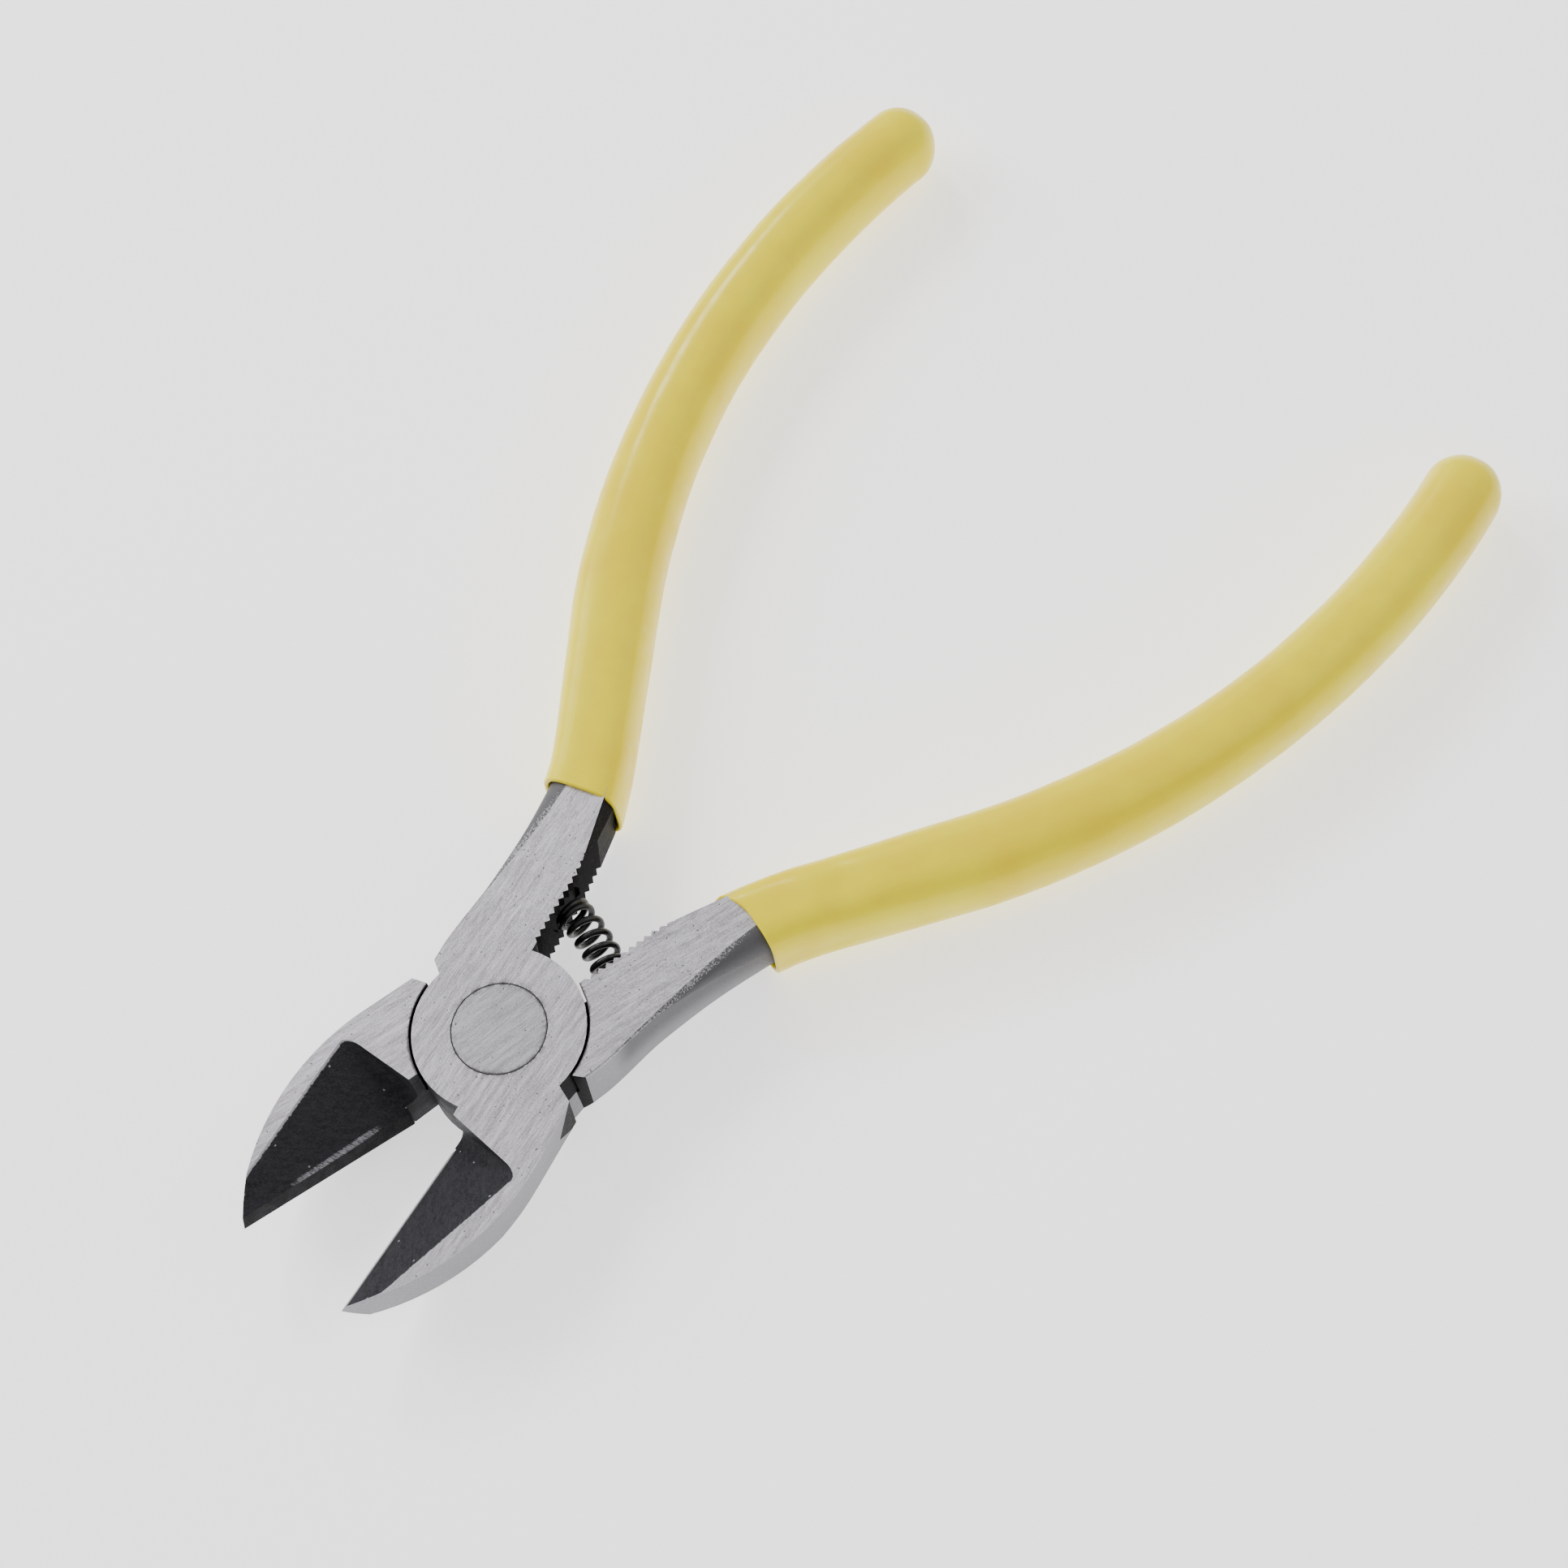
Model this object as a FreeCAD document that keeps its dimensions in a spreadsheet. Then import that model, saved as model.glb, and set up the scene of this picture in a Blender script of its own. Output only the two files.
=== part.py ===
import FreeCAD, Part

import math
import os

from FreeCAD import Placement, Rotation, Vector

# Diagonal side cutters for jewellery making, 5 inch size, with a lap joint and a return spring.
#
# Two forged levers turn about one flush-ground rivet. Each lever is a jaw, half a lap joint and a tang
# with a core, and each core carries a dipped vinyl grip. A coil spring sits in a pocket in each tang.
#
# Frame: millimetres, +Z up along the rivet. The origin is the centre of the rivet on the lower face of
# the lap joint. +X runs from the rivet to the jaw tips, and the handles run towards -X. The upper lever
# has its jaw on the +Y side and its handle on the -Y side; the lower lever is its mirror image with the
# other half of the lap.
#
# Every lever is drawn in its own closed frame, with its cutting edge along +X, and is then turned by half
# of the opening angle, which is the relaxed pose that the spring holds.

DIMENSIONS = [
    ("joint_thickness", 8.0, "over both halves of the lap joint"),
    ("hub_radius", 7.5, "each half of the lap joint"),
    ("hub_clearance", 0.25, "between a hub and the wall of the other lever's seat"),
    ("lap_gap", 0.04, "between the two halves of the lap"),
    ("opening_half", 12.2, "degrees that each lever stands open when the spring is relaxed"),
    ("rivet_shank", 2.6, "radius"),
    ("rivet_head", 4.1, "radius of the countersunk head, ground flush"),
    ("rivet_head_depth", 1.5, "depth of the countersunk head"),
    ("rivet_clearance", 0.06, "radial, in the lever that turns on the rivet"),
    ("jaw_length", 26.6, "rivet to tip"),
    ("jaw_height", 8.9, "cutting edge to the back of the jaw"),
    ("jaw_arc_start", 9.0, "where the back of the jaw starts to curve to the tip"),
    ("jaw_lean", 1.5, "how far the back of the jaw leans in at the lower face"),
    ("jaw_shoulder", 8.62, "closed edge to the shoulder beside the hub"),
    ("jaw_shoulder_lean", 1.15, "how far the shoulder leans in at the lower face"),
    ("edge_start", 10.1, "rivet to the heel of the cutting edge"),
    ("edge_relief", 0.03, "half of the daylight between the closed edges"),
    ("throat_upper", 0.4, "centre line to the upper lever's wall behind its cutting edge"),
    ("throat_lower", 1.2, "centre line to the lower lever's wall behind its cutting edge"),
    ("edge_heel_height", 2.44, "height of the cutting edge at its heel"),
    ("edge_slope", 12.5, "degrees that the cutting edge climbs towards the tip"),
    ("hollow_heel_height", 3.25, "height of the hollow-ground face over the heel of the edge"),
    ("hollow_climb", 12.1, "degrees that the hollow-ground face climbs along the edge"),
    ("hollow_angle", 30.0, "degrees that the hollow-ground face climbs across the jaw"),
    ("hollow_wall_foot", 8.2, "rivet to the wall of the hollow at the edge line"),
    ("hollow_wall_lean", 15.5, "degrees that the wall of the hollow leans to the tip across the jaw"),
    ("hollow_fillet", 0.8, "radius between the hollow-ground face and its wall"),
    ("bevel_angle", 63.6, "degrees of the honed bevel above the cutting edge"),
    ("back_bevel_angle", 28.0, "degrees from upright of the bevel below the cutting edge"),
    ("belly_start", 14.0, "rivet to where the lower face of the jaw starts to rise"),
    ("belly_angle", 16.5, "degrees that the lower face of the jaw rises to the tip"),
    ("tang_taper_start", 8.5, "rivet to where the faces of the tang start to taper"),
    ("tang_taper", 1.9, "degrees that each face of the tang tapers towards the grip"),
    ("tang_lean", 0.95, "how far both walls of the tang lean in at the lower face"),
    ("tang_wall", 1.05, "centre line to the serrated inner wall of the tang"),
    ("tooth_pitch", 0.8, "serrations of the inner wall"),
    ("tooth_depth", 0.35, "serrations of the inner wall"),
    ("tooth_start", 8.6, "rivet to the first serration"),
    ("tooth_end", 20.6, "rivet to the last serration"),
    ("tang_end", 24.0, "rivet to the step where the tang becomes the core"),
    ("tang_edge_radius", 2.1, "rounding of the outer edge of the tang at the grip"),
    ("facet_start", 14.9, "rivet to the start of the facet on the inner edge of the tang"),
    ("grip_mouth", 22.6, "rivet to the mouth of the grip"),
    ("grip_mouth_lean", 5.5, "degrees that the mouth leans back on its inner side"),
    ("coat", 0.9, "thickness of the vinyl over the core"),
    ("handle_bow_radius", 80.0, "centre line of the handle's main curve"),
    ("handle_bow_reach", 70.0, "rivet to the widest point of the bow, along X"),
    ("handle_bow_width", 17.7, "centre line to the widest point of the bow"),
    ("grip_end_upper", 98.6, "rivet to where the round end of the upper grip starts"),
    ("grip_end_lower", 97.8, "rivet to where the round end of the lower grip starts"),
    ("grip_start", 19.0, "rivet to where the grip is drawn from, before it is cut at its mouth"),
    ("core_start", 18.0, "rivet to where the core starts, inside the tang"),
    ("core_end", 94.0, "rivet to where the round end of the core starts"),
    ("spring_radius", 1.4, "coil, to the centre of the wire"),
    ("spring_wire", 0.3, "radius of the wire"),
    ("spring_turns", 7.5, "number of coils"),
    ("spring_lean", 18.0, "degrees that the relaxed spring leans in the upper lever's pocket"),
    ("spring_play", 0.12, "between the spring's end coils and the pocket floors"),
    ("pocket_radius", 2.2, "spring pockets"),
    ("pocket_depth", 1.0, "spring pockets, from the serrated wall"),
    ("pocket_reach_upper", 13.3, "rivet to the spring pocket of the upper lever"),
    ("pocket_reach_lower", 11.0, "rivet to the spring pocket of the lower lever"),
]

UPPER, LOWER = 1, -1
CUTTER_SPAN = 90.0
CUTTER_DEPTH = 30.0
Z_AXIS = Vector(0, 0, 1)

doc = FreeCAD.newDocument("side_cutters")
sheet = doc.addObject("Spreadsheet::Sheet", "dimensions")
for row, (alias, value, meaning) in enumerate(DIMENSIONS, start=1):
    sheet.set(f"A{row}", meaning)
    sheet.set(f"B{row}", str(value))
    sheet.setAlias(f"B{row}", alias)
doc.recompute()


def dim(alias):
    """One driving dimension from the sheet, as a number."""
    return float(sheet.get(alias))


def bind(obj, **sizes):
    """Binds properties of an object to expressions over the sheet."""
    for name, expression in sizes.items():
        obj.setExpression(name, expression)
    return obj


def sheet_expression(text):
    """Prefixes every alias in a formula with the sheet's name."""
    for alias in sorted((a for a, _, _ in DIMENSIONS), key=len, reverse=True):
        text = text.replace(f"<{alias}>", f"dimensions.{alias}")
    return text


def rad(alias):
    """An angle from the sheet, in radians."""
    return math.radians(dim(alias))


# ---------------------------------------------------------------- building blocks


def sketch_of(name, curves, height=0.0):
    """A sketch of connected curves in a plane parallel to XY."""
    sketch = doc.addObject("Sketcher::SketchObject", name)
    sketch.Placement = Placement(Vector(0, 0, height), Rotation())
    for curve in curves:
        sketch.addGeometry(curve, False)
    return sketch


def lines_through(points):
    """Straight sketch lines from point to point."""
    return [Part.LineSegment(a, b) for a, b in zip(points, points[1:])]


def extrusion(name, sketch):
    """A solid drawn up out of a sketch by the thickness of the joint."""
    body = doc.addObject("Part::Extrusion", name)
    body.Base = sketch
    body.DirMode = "Normal"
    body.Solid = True
    bind(body, LengthFwd=sheet_expression("<joint_thickness>"))
    return body


def ruled_block(name, bottom_curves, top_curves):
    """A solid between two outlines with matching curves, on the lower and the upper face of the joint."""
    bottom = sketch_of(f"{name}_bottom", bottom_curves, 0.0)
    top = sketch_of(f"{name}_top", top_curves, dim("joint_thickness"))
    block = doc.addObject("Part::Loft", name)
    block.Sections = [bottom, top]
    block.Solid = True
    block.Ruled = True
    return block


def cylinder(name, radius, height, base_height="0"):
    """A cylinder about the rivet axis, with its sizes given as formulas over the sheet."""
    body = doc.addObject("Part::Cylinder", name)
    bind(body, Radius=sheet_expression(radius), Height=sheet_expression(height))
    body.setExpression(".Placement.Base.z", sheet_expression(base_height))
    return body


def half_space(name, point, normal, along=Vector(1, 0, 0)):
    """A large block that fills the space beyond a plane, on the side that the normal points to."""
    block = doc.addObject("Part::Box", name)
    block.Length = block.Width = CUTTER_SPAN
    block.Height = CUTTER_DEPTH
    up = Vector(normal).normalize()
    across = up.cross(along).normalize()
    ahead = across.cross(up)
    corner = point - ahead * (CUTTER_SPAN / 2) - across * (CUTTER_SPAN / 2)
    block.Placement = Placement(corner, Rotation(ahead, across, up, "ZXY"))
    return block


def common(name, *parts):
    """The space that all the parts share."""
    result = doc.addObject("Part::MultiCommon", name)
    result.Shapes = list(parts)
    return result


def fuse(name, *parts):
    """One solid from parts that overlap."""
    result = doc.addObject("Part::MultiFuse", name)
    result.Shapes = list(parts)
    return result


def cut(name, base, *tools):
    """The base with every tool taken out of it."""
    tool = tools[0] if len(tools) == 1 else fuse(f"{name}_tools", *tools)
    result = doc.addObject("Part::Cut", name)
    result.Base = base
    result.Tool = tool
    return result


def rounded(name, base, chosen):
    """The base with some of its edges rounded: chosen maps an edge to its radius or radii."""
    doc.recompute()
    edges = []
    for number, edge in enumerate(base.Shape.Edges, start=1):
        radii = chosen(edge)
        if radii:
            edges.append((number, *radii))
    result = doc.addObject("Part::Fillet", name)
    result.Base = base
    result.Edges = edges
    return result


def place_node(label, source, side):
    """A finished sub-part: the source, turned to the lever's open position."""
    node = doc.addObject("Part::Compound", label)
    node.Label = label
    node.Links = [source]
    node.Placement = Placement(Vector(), Rotation(Z_AXIS, side * dim("opening_half")))
    return node


# ---------------------------------------------------------------- handle centre line


def handle_line(reach):
    """Centre line of the handle at a distance from the rivet along X: (y, slope), both for a closed lever.

    The main bow is one arc. Inside a reach of 40 mm it runs straight back along its tangent, and a second
    arc bends it in line with the tang.
    """
    bow, apex, width = dim("handle_bow_radius"), dim("handle_bow_reach"), dim("handle_bow_width")
    straight_from, straight_to, tang_radius = 40.0, 28.5, 42.0
    if reach >= straight_from:
        offset = reach - apex
        height = math.sqrt(bow**2 - offset**2)
        return -(width - bow + height), offset / height
    y_from, slope = handle_line(straight_from)
    if reach >= straight_to:
        return y_from - slope * (straight_from - reach), slope
    y_to = y_from - slope * (straight_from - straight_to)
    angle = math.atan(-slope)
    travel = straight_to - reach
    sine = max(math.sin(angle) - travel / tang_radius, 0.05)
    turned = math.asin(sine)
    return y_to + tang_radius * (math.cos(turned) - math.cos(angle)), -math.tan(turned)


def section(reach, half_width, half_height, squareness, side):
    """A closed section of the handle, square to its centre line: a superellipse in an upright plane."""
    y, slope = handle_line(reach)
    middle = dim("joint_thickness") / 2
    direction = Vector(-1, slope * side, 0).normalize()
    across = direction.cross(Z_AXIS)
    centre = Vector(-reach, y * side, middle)
    return closed_section(centre, across, half_width, half_height, squareness)


def closed_section(centre, across, half_width, half_height, squareness):
    """A superellipse about a centre, wide along a horizontal direction."""
    points = []
    count = 20
    for step in range(count):
        angle = 2 * math.pi * step / count
        u, v = math.cos(angle), math.sin(angle)
        reach = (abs(u / half_width) ** squareness + abs(v / half_height) ** squareness) ** (-1 / squareness)
        points.append(centre + (across * u + Z_AXIS * v) * reach)
    curve = Part.BSplineCurve()
    curve.interpolate(points, PeriodicFlag=True)
    return Part.Wire([curve.toShape()])


# reach, half width, half height, squareness of the grip's outside
GRIP_STATIONS = [
    (19.0, 3.60, 3.92, 3.6),
    (22.0, 3.60, 3.97, 3.6),
    (25.0, 3.55, 3.98, 3.3),
    (29.0, 3.60, 3.99, 3.0),
    (34.0, 3.75, 4.00, 2.8),
    (41.0, 3.92, 4.00, 2.6),
    (50.0, 3.88, 4.00, 2.5),
    (60.0, 3.72, 4.00, 2.5),
    (70.0, 3.63, 4.00, 2.5),
    (80.0, 3.60, 4.00, 2.5),
    (89.0, 3.62, 4.00, 2.4),
]
END_WIDTH, END_HEIGHT, END_SQUARENESS = 3.6, 3.95, 2.2
ROUND_END_ANGLES = (15, 29, 42, 54, 65, 75, 84)


def handle_solid(side, inset, first, last):
    """A solid along the handle with a round end, standing inside the grip's outside by the inset."""
    wires = []
    for reach, half_width, half_height, squareness in GRIP_STATIONS:
        if first <= reach <= last - 4:
            wires.append(section(reach, half_width - inset, half_height - inset, squareness, side))
    width, height = END_WIDTH - inset, END_HEIGHT - inset
    end = section(last, width, height, END_SQUARENESS, side)
    y, slope = handle_line(last)
    direction = Vector(-1, slope * side, 0).normalize()
    across = direction.cross(Z_AXIS)
    centre = Vector(-last, y * side, dim("joint_thickness") / 2)
    round_end = [end]
    for degrees in ROUND_END_ANGLES:
        turn = math.radians(degrees)
        middle = centre + direction * (width * math.sin(turn))
        shrink = math.cos(turn)
        round_end.append(closed_section(middle, across, width * shrink, height * shrink, END_SQUARENESS))
    return Part.makeLoft([*wires, end], True, False).fuse(Part.makeLoft(round_end, True, True))


# ---------------------------------------------------------------- lever


def jaw_outline(side, height, shoulder_height):
    """The back of the jaw: straight from the shoulder, then one arc down to the tip and past it."""
    length, arc_start = dim("jaw_length"), dim("jaw_arc_start")
    radius = ((length - arc_start) ** 2 + height**2) / (2 * height)
    centre = Vector(arc_start, height - radius, 0)

    def on_back(angle):
        return Vector(centre.x + radius * math.cos(angle), (centre.y + radius * math.sin(angle)) * side, 0)

    past_tip, behind_hub = -4.0, -1.0
    last = math.asin((past_tip - centre.y) / radius)
    first = math.pi / 2
    shoulder = Vector(3.1, shoulder_height * side, 0)
    hub_side = Vector(behind_hub, shoulder_height * side, 0)
    return [
        Part.LineSegment(hub_side, shoulder),
        Part.LineSegment(shoulder, on_back(first)),
        Part.Arc(on_back(first), on_back((first + last) / 2), on_back(last)),
        *lines_through([on_back(last), Vector(behind_hub, past_tip * side, 0), hub_side]),
    ]


def jaw_block(name, side, throat):
    """The jaw before grinding: its back leans in towards the lower face, its inner side is upright."""
    height, lean, shoulder = dim("jaw_height"), dim("jaw_lean"), dim("jaw_shoulder")
    bottom = jaw_outline(side, height - lean, shoulder - dim("jaw_shoulder_lean"))
    envelope = ruled_block(f"{name}_envelope", bottom, jaw_outline(side, height, shoulder))
    length, edge, heel = dim("jaw_length"), dim("edge_relief"), dim("edge_start")
    inner = [
        (2.2, 7.17),
        (3.15, 8.75),
        (3.15, 12.0),
        (length, 12.0),
        (length, edge),
        (heel, edge),
        (heel - 0.25, throat),
        (6.8, throat),
        (2.2, 7.17),
    ]
    points = [Vector(x, y * side, 0) for x, y in inner]
    profile = extrusion(f"{name}_profile", sketch_of(f"{name}_profile_sketch", lines_through(points)))
    return common(name, envelope, profile)


def serrated_wall(lean):
    """Points of the tang's inner wall from the hub to the step, with saw teeth, for an upper lever.

    The wall leans in at the lower face, except beside the hub, where it stays upright to close the seat.
    """
    wall, pitch, depth = dim("tang_wall") + lean, dim("tooth_pitch"), dim("tooth_depth")
    start, end, fade = dim("tooth_start"), dim("tooth_end"), dim("facet_start")

    def depth_at(reach):
        """The wall is straight as far as the facet, then falls away towards the grip."""
        beyond = max(reach - fade, 0)
        return -(wall + 0.06 * beyond + 0.004 * beyond**2)

    upright = -dim("tang_wall")
    points = [(-6.6, upright), (-(start - 0.7), upright), (-(start - 0.3), -wall)]
    reach = start
    while reach + pitch < end:
        points.append((-reach, depth_at(reach) - depth))
        points.append((-(reach + pitch * 0.45), depth_at(reach)))
        reach += pitch
    points.append((-end, depth_at(end)))
    step = dim("tang_end")
    points.append((1.1 - step, depth_at(step - 1.1)))
    points.append((-step, depth_at(step) - 0.8))
    return points


def tang_outline(side, lean):
    """The tang from above: a serrated inner wall, and a waisted outer wall that stands in by the lean."""
    inner = serrated_wall(lean)
    step = dim("tang_end")
    waist = [(-20.0, -8.2), (-16.5, -7.8), (-13.0, -7.65), (-10.0, -7.7), (-7.2, -8.05), (-4.8, -8.3)]
    outer = [Vector(x, (y + lean) * side, 0) for x, y in [(-step, -8.75), *waist]]
    curve = Part.BSplineCurve()
    curve.interpolate(outer)
    shoulder_corner = Vector(-3.1, (lean - 8.3) * side, 0)
    shoulder = [(-2.12, -7.18), (-1.5, -5.0), inner[0]]
    start = [Vector(x, y * side, 0) for x, y in inner]
    finish = [Vector(x, y * side, 0) for x, y in shoulder]
    back_to_start = lines_through([outer[-1], shoulder_corner, *finish])
    return [*lines_through([*start, outer[0]]), curve, *back_to_start]


def tang_block(name, side):
    """The tang before its facets: both walls lean in towards the lower face, and both faces taper."""
    block = ruled_block(f"{name}_blank", tang_outline(side, dim("tang_lean")), tang_outline(side, 0.0))
    thickness, lean = dim("joint_thickness"), math.tan(rad("tang_taper"))
    faces = []
    for place, face, outward in (("top", thickness, 1), ("bottom", 0.0, -1)):
        start_of_taper = Vector(-dim("tang_taper_start"), 0, face)
        faces.append(half_space(f"{name}_taper_{place}", start_of_taper, Vector(-lean, 0, outward)))
    block = cut(f"{name}_tapered", block, *faces)

    def outer_edge(edge):
        """The long outer edges, rounded from nothing at the shoulder to a full radius at the grip."""
        middle = edge.valueAt((edge.FirstParameter + edge.LastParameter) / 2)
        near_face = min(middle.z, thickness - middle.z) < 0.9
        upright = abs(edge.tangentAt(edge.FirstParameter).z) > 0.5
        if not near_face or upright or edge.Length < 8 or middle.y * side > -6:
            return None
        small, full = 0.12, dim("tang_edge_radius")
        starts_at_grip = edge.valueAt(edge.FirstParameter).x < edge.valueAt(edge.LastParameter).x
        return (full, small) if starts_at_grip else (small, full)

    return rounded(name, block, outer_edge)


def jaw_grinding(name, side):
    """Cutters of the jaw: hollow-ground face, honed bevel, back bevel and the rising lower face."""
    heel = dim("edge_start")
    climb, cross = math.tan(rad("hollow_climb")), math.tan(rad("hollow_angle"))
    hollow_point = Vector(heel, 0, dim("hollow_heel_height"))
    hollow_normal = Vector(-climb, -cross * side, 1)
    wall_foot = Vector(dim("hollow_wall_foot"), 0, 0)
    wall_normal = Vector(1, -math.tan(rad("hollow_wall_lean")) * side, 0)
    hollow = common(
        f"{name}_hollow_block",
        half_space(f"{name}_hollow_face", hollow_point, hollow_normal),
        half_space(f"{name}_hollow_wall", wall_foot, wall_normal, Z_AXIS),
    )

    def foot_of_wall(edge):
        """The edge where the ground face meets its wall."""
        middle = edge.valueAt((edge.FirstParameter + edge.LastParameter) / 2)
        on_face = abs((middle - hollow_point).dot(hollow_normal)) < 1e-4
        on_wall = abs((middle - wall_foot).dot(wall_normal)) < 1e-4
        return (dim("hollow_fillet"), dim("hollow_fillet")) if on_face and on_wall else None

    hollow_cutter = rounded(f"{name}_hollow", hollow, foot_of_wall)
    edge_point = Vector(heel, dim("edge_relief") * side, dim("edge_heel_height"))
    rise = math.tan(rad("edge_slope"))
    before_heel = Vector(heel - 0.3, 0, 0)
    past_heel = half_space(f"{name}_past_heel", before_heel, Vector(1, 0, 0), Z_AXIS)
    bevel_normal = Vector(-rise, -math.tan(rad("bevel_angle")) * side, 1)
    bevel = common(f"{name}_bevel", half_space(f"{name}_bevel_face", edge_point, bevel_normal), past_heel)
    back_lean = math.tan(rad("back_bevel_angle"))
    back_normal = Vector(back_lean * rise, -side, -back_lean)
    past_heel_below = half_space(f"{name}_past_heel_below", before_heel, Vector(1, 0, 0), Z_AXIS)
    back_face = half_space(f"{name}_back_face", edge_point, back_normal)
    back = common(f"{name}_back_bevel", back_face, past_heel_below)
    belly_normal = Vector(math.tan(rad("belly_angle")), 0, -1)
    belly = half_space(f"{name}_belly", Vector(dim("belly_start"), 0, 0), belly_normal)
    return [hollow_cutter, bevel, back, belly]


def tang_facets(name, side):
    """Cutters of the two smooth facets that thin the inner edges of the tang towards the grip."""
    start, far = dim("facet_start"), dim("tang_end")
    thickness, wall = dim("joint_thickness"), dim("tang_wall")
    facets = []
    for place, face, inward in (("top", thickness, -1), ("bottom", 0.0, 1)):
        near_point = Vector(-start, -wall * side, face)
        far_point = Vector(-far, -(wall + 2.1) * side, face)
        deep_point = Vector(-far, -(wall + 0.7) * side, face + inward * 3.6)
        normal = (far_point - near_point).cross(deep_point - near_point)
        if normal.y * side < 0:
            normal = normal * -1
        plane = half_space(f"{name}_facet_{place}_plane", near_point, normal)
        behind = half_space(f"{name}_facet_{place}_limit", Vector(-start, 0, 0), Vector(-1, 0, 0), Z_AXIS)
        facets.append(common(f"{name}_facet_{place}", plane, behind))
    return facets


def spring_pocket(name, side, reach):
    """The blind hole in the tang that holds one end of the spring."""
    pocket = doc.addObject("Part::Cylinder", f"{name}_pocket")
    bind(pocket, Radius=sheet_expression("<pocket_radius>"))
    pocket.Height = dim("pocket_depth") + 4
    floor = -(dim("tang_wall") + dim("pocket_depth")) * side
    pocket.Placement = Placement(
        Vector(-reach, floor, dim("joint_thickness") / 2), Rotation(Vector(1, 0, 0), -90 * side)
    )
    return pocket


def rivet_shape_cutter(name, play, height_from, height_to):
    """The countersunk hole for the rivet between two heights, wider than the rivet by the play."""
    shank, head, depth = dim("rivet_shank") + play, dim("rivet_head") + play, dim("rivet_head_depth")
    top = dim("joint_thickness")
    if height_to >= top:
        countersink = [(shank, top - depth), (head, top), (head, height_to)]
        outline = [(0, height_from), (shank, height_from), *countersink, (0, height_to)]
    else:
        countersink = [(head, height_from), (head, 0), (shank, depth)]
        outline = [(0, height_from), *countersink, (shank, height_to), (0, height_to)]
    points = [Vector(radius, 0, height) for radius, height in outline]
    wire = Part.makePolygon([*points, points[0]])
    hole = doc.addObject("Part::Feature", name)
    hole.Shape = Part.Face(wire).revolve(Vector(), Z_AXIS, 360)
    return hole


def make_lever(name, side, throat, reach):
    """One forged lever in its closed frame: hub, jaw, tang and core in one solid."""
    half = "(<joint_thickness> - <lap_gap>) / 2"
    other_half = "(<joint_thickness> + <lap_gap>) / 2"
    own_base, seat_base = (other_half, "0 - 1") if side == UPPER else ("0", half)
    hub = cylinder(f"{name}_hub", "<hub_radius>", half, own_base)
    seat = cylinder(f"{name}_seat", "<hub_radius> + <hub_clearance>", f"{other_half} + 1", seat_base)
    blocks = fuse(f"{name}_blocks", jaw_block(f"{name}_jaw", side, throat), tang_block(f"{name}_tang", side))
    seated = cut(f"{name}_seated", blocks, seat)
    core = doc.addObject("Part::Feature", f"{name}_core")
    core.Shape = handle_solid(side, dim("coat"), dim("core_start"), dim("core_end"))
    forging = fuse(f"{name}_forging", hub, seated, core)
    thickness = dim("joint_thickness")
    if side == UPPER:
        play, height_from, height_to = dim("rivet_clearance"), thickness / 2 - 1, thickness + 1
    else:
        play, height_from, height_to = 0.0, -1, thickness / 2 + 1
    hole = rivet_shape_cutter(f"{name}_rivet_hole", play, height_from, height_to)
    pocket = spring_pocket(name, side, reach)
    return cut(f"{name}_ground", forging, *jaw_grinding(name, side), *tang_facets(name, side), pocket, hole)


def make_grip(name, side, lever, end):
    """The dipped grip: the handle's outside beyond the mouth, less the lever that fills it."""
    outside = doc.addObject("Part::Feature", f"{name}_outside")
    outside.Shape = handle_solid(side, 0.0, dim("grip_start"), end)
    lean = math.tan(rad("grip_mouth_lean"))
    mouth_y, _ = handle_line(dim("grip_mouth"))
    mouth_point = Vector(-dim("grip_mouth"), mouth_y * side, 0)
    before_mouth = half_space(f"{name}_before_mouth", mouth_point, Vector(1, lean * side, 0), Z_AXIS)
    return cut(f"{name}_dipped", outside, before_mouth, lever)


# ---------------------------------------------------------------- rivet and spring


def make_rivet():
    """The rivet: a shank with a countersunk head at each end, ground flush with both faces."""
    body = doc.addObject("PartDesign::Body", "rivet_body")
    sketch = body.newObject("Sketcher::SketchObject", "rivet_profile")
    plane = next(f for f in body.Origin.OriginFeatures if f.Role == "XZ_Plane")
    sketch.AttachmentSupport = [(plane, "")]
    sketch.MapMode = "FlatFace"
    shank, head, depth = dim("rivet_shank"), dim("rivet_head"), dim("rivet_head_depth")
    top = dim("joint_thickness")
    outline = [(0, 0), (head, 0), (shank, depth), (shank, top - depth), (head, top), (0, top), (0, 0)]
    sketch.addGeometry(lines_through([Vector(x, y, 0) for x, y in outline]), False)
    revolution = body.newObject("PartDesign::Revolution", "rivet_turned")
    revolution.Profile = sketch
    revolution.ReferenceAxis = (sketch, ["V_Axis"])
    revolution.Angle = 360
    body.Label = "pivot_rivet"
    return body


def spring_seat(side, reach):
    """Where the spring's centre line starts over a pocket's floor, and which way it leaves it.

    Both are in the frame of the open tool. The lean tips one side of the end coil towards the floor, so
    the seat stands off the floor by as much.
    """
    lean = -rad("spring_lean") if side == UPPER else 0.0
    stand_off = dim("spring_play") + dim("spring_wire") + dim("spring_radius") * abs(math.sin(lean))
    floor = -(dim("tang_wall") + dim("pocket_depth") - stand_off)
    turn = Rotation(Z_AXIS, side * dim("opening_half"))
    seat = turn.multVec(Vector(-reach, floor * side, dim("joint_thickness") / 2))
    axis = turn.multVec(Vector(-math.sin(lean), side * math.cos(lean), 0))
    return seat, axis


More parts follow.
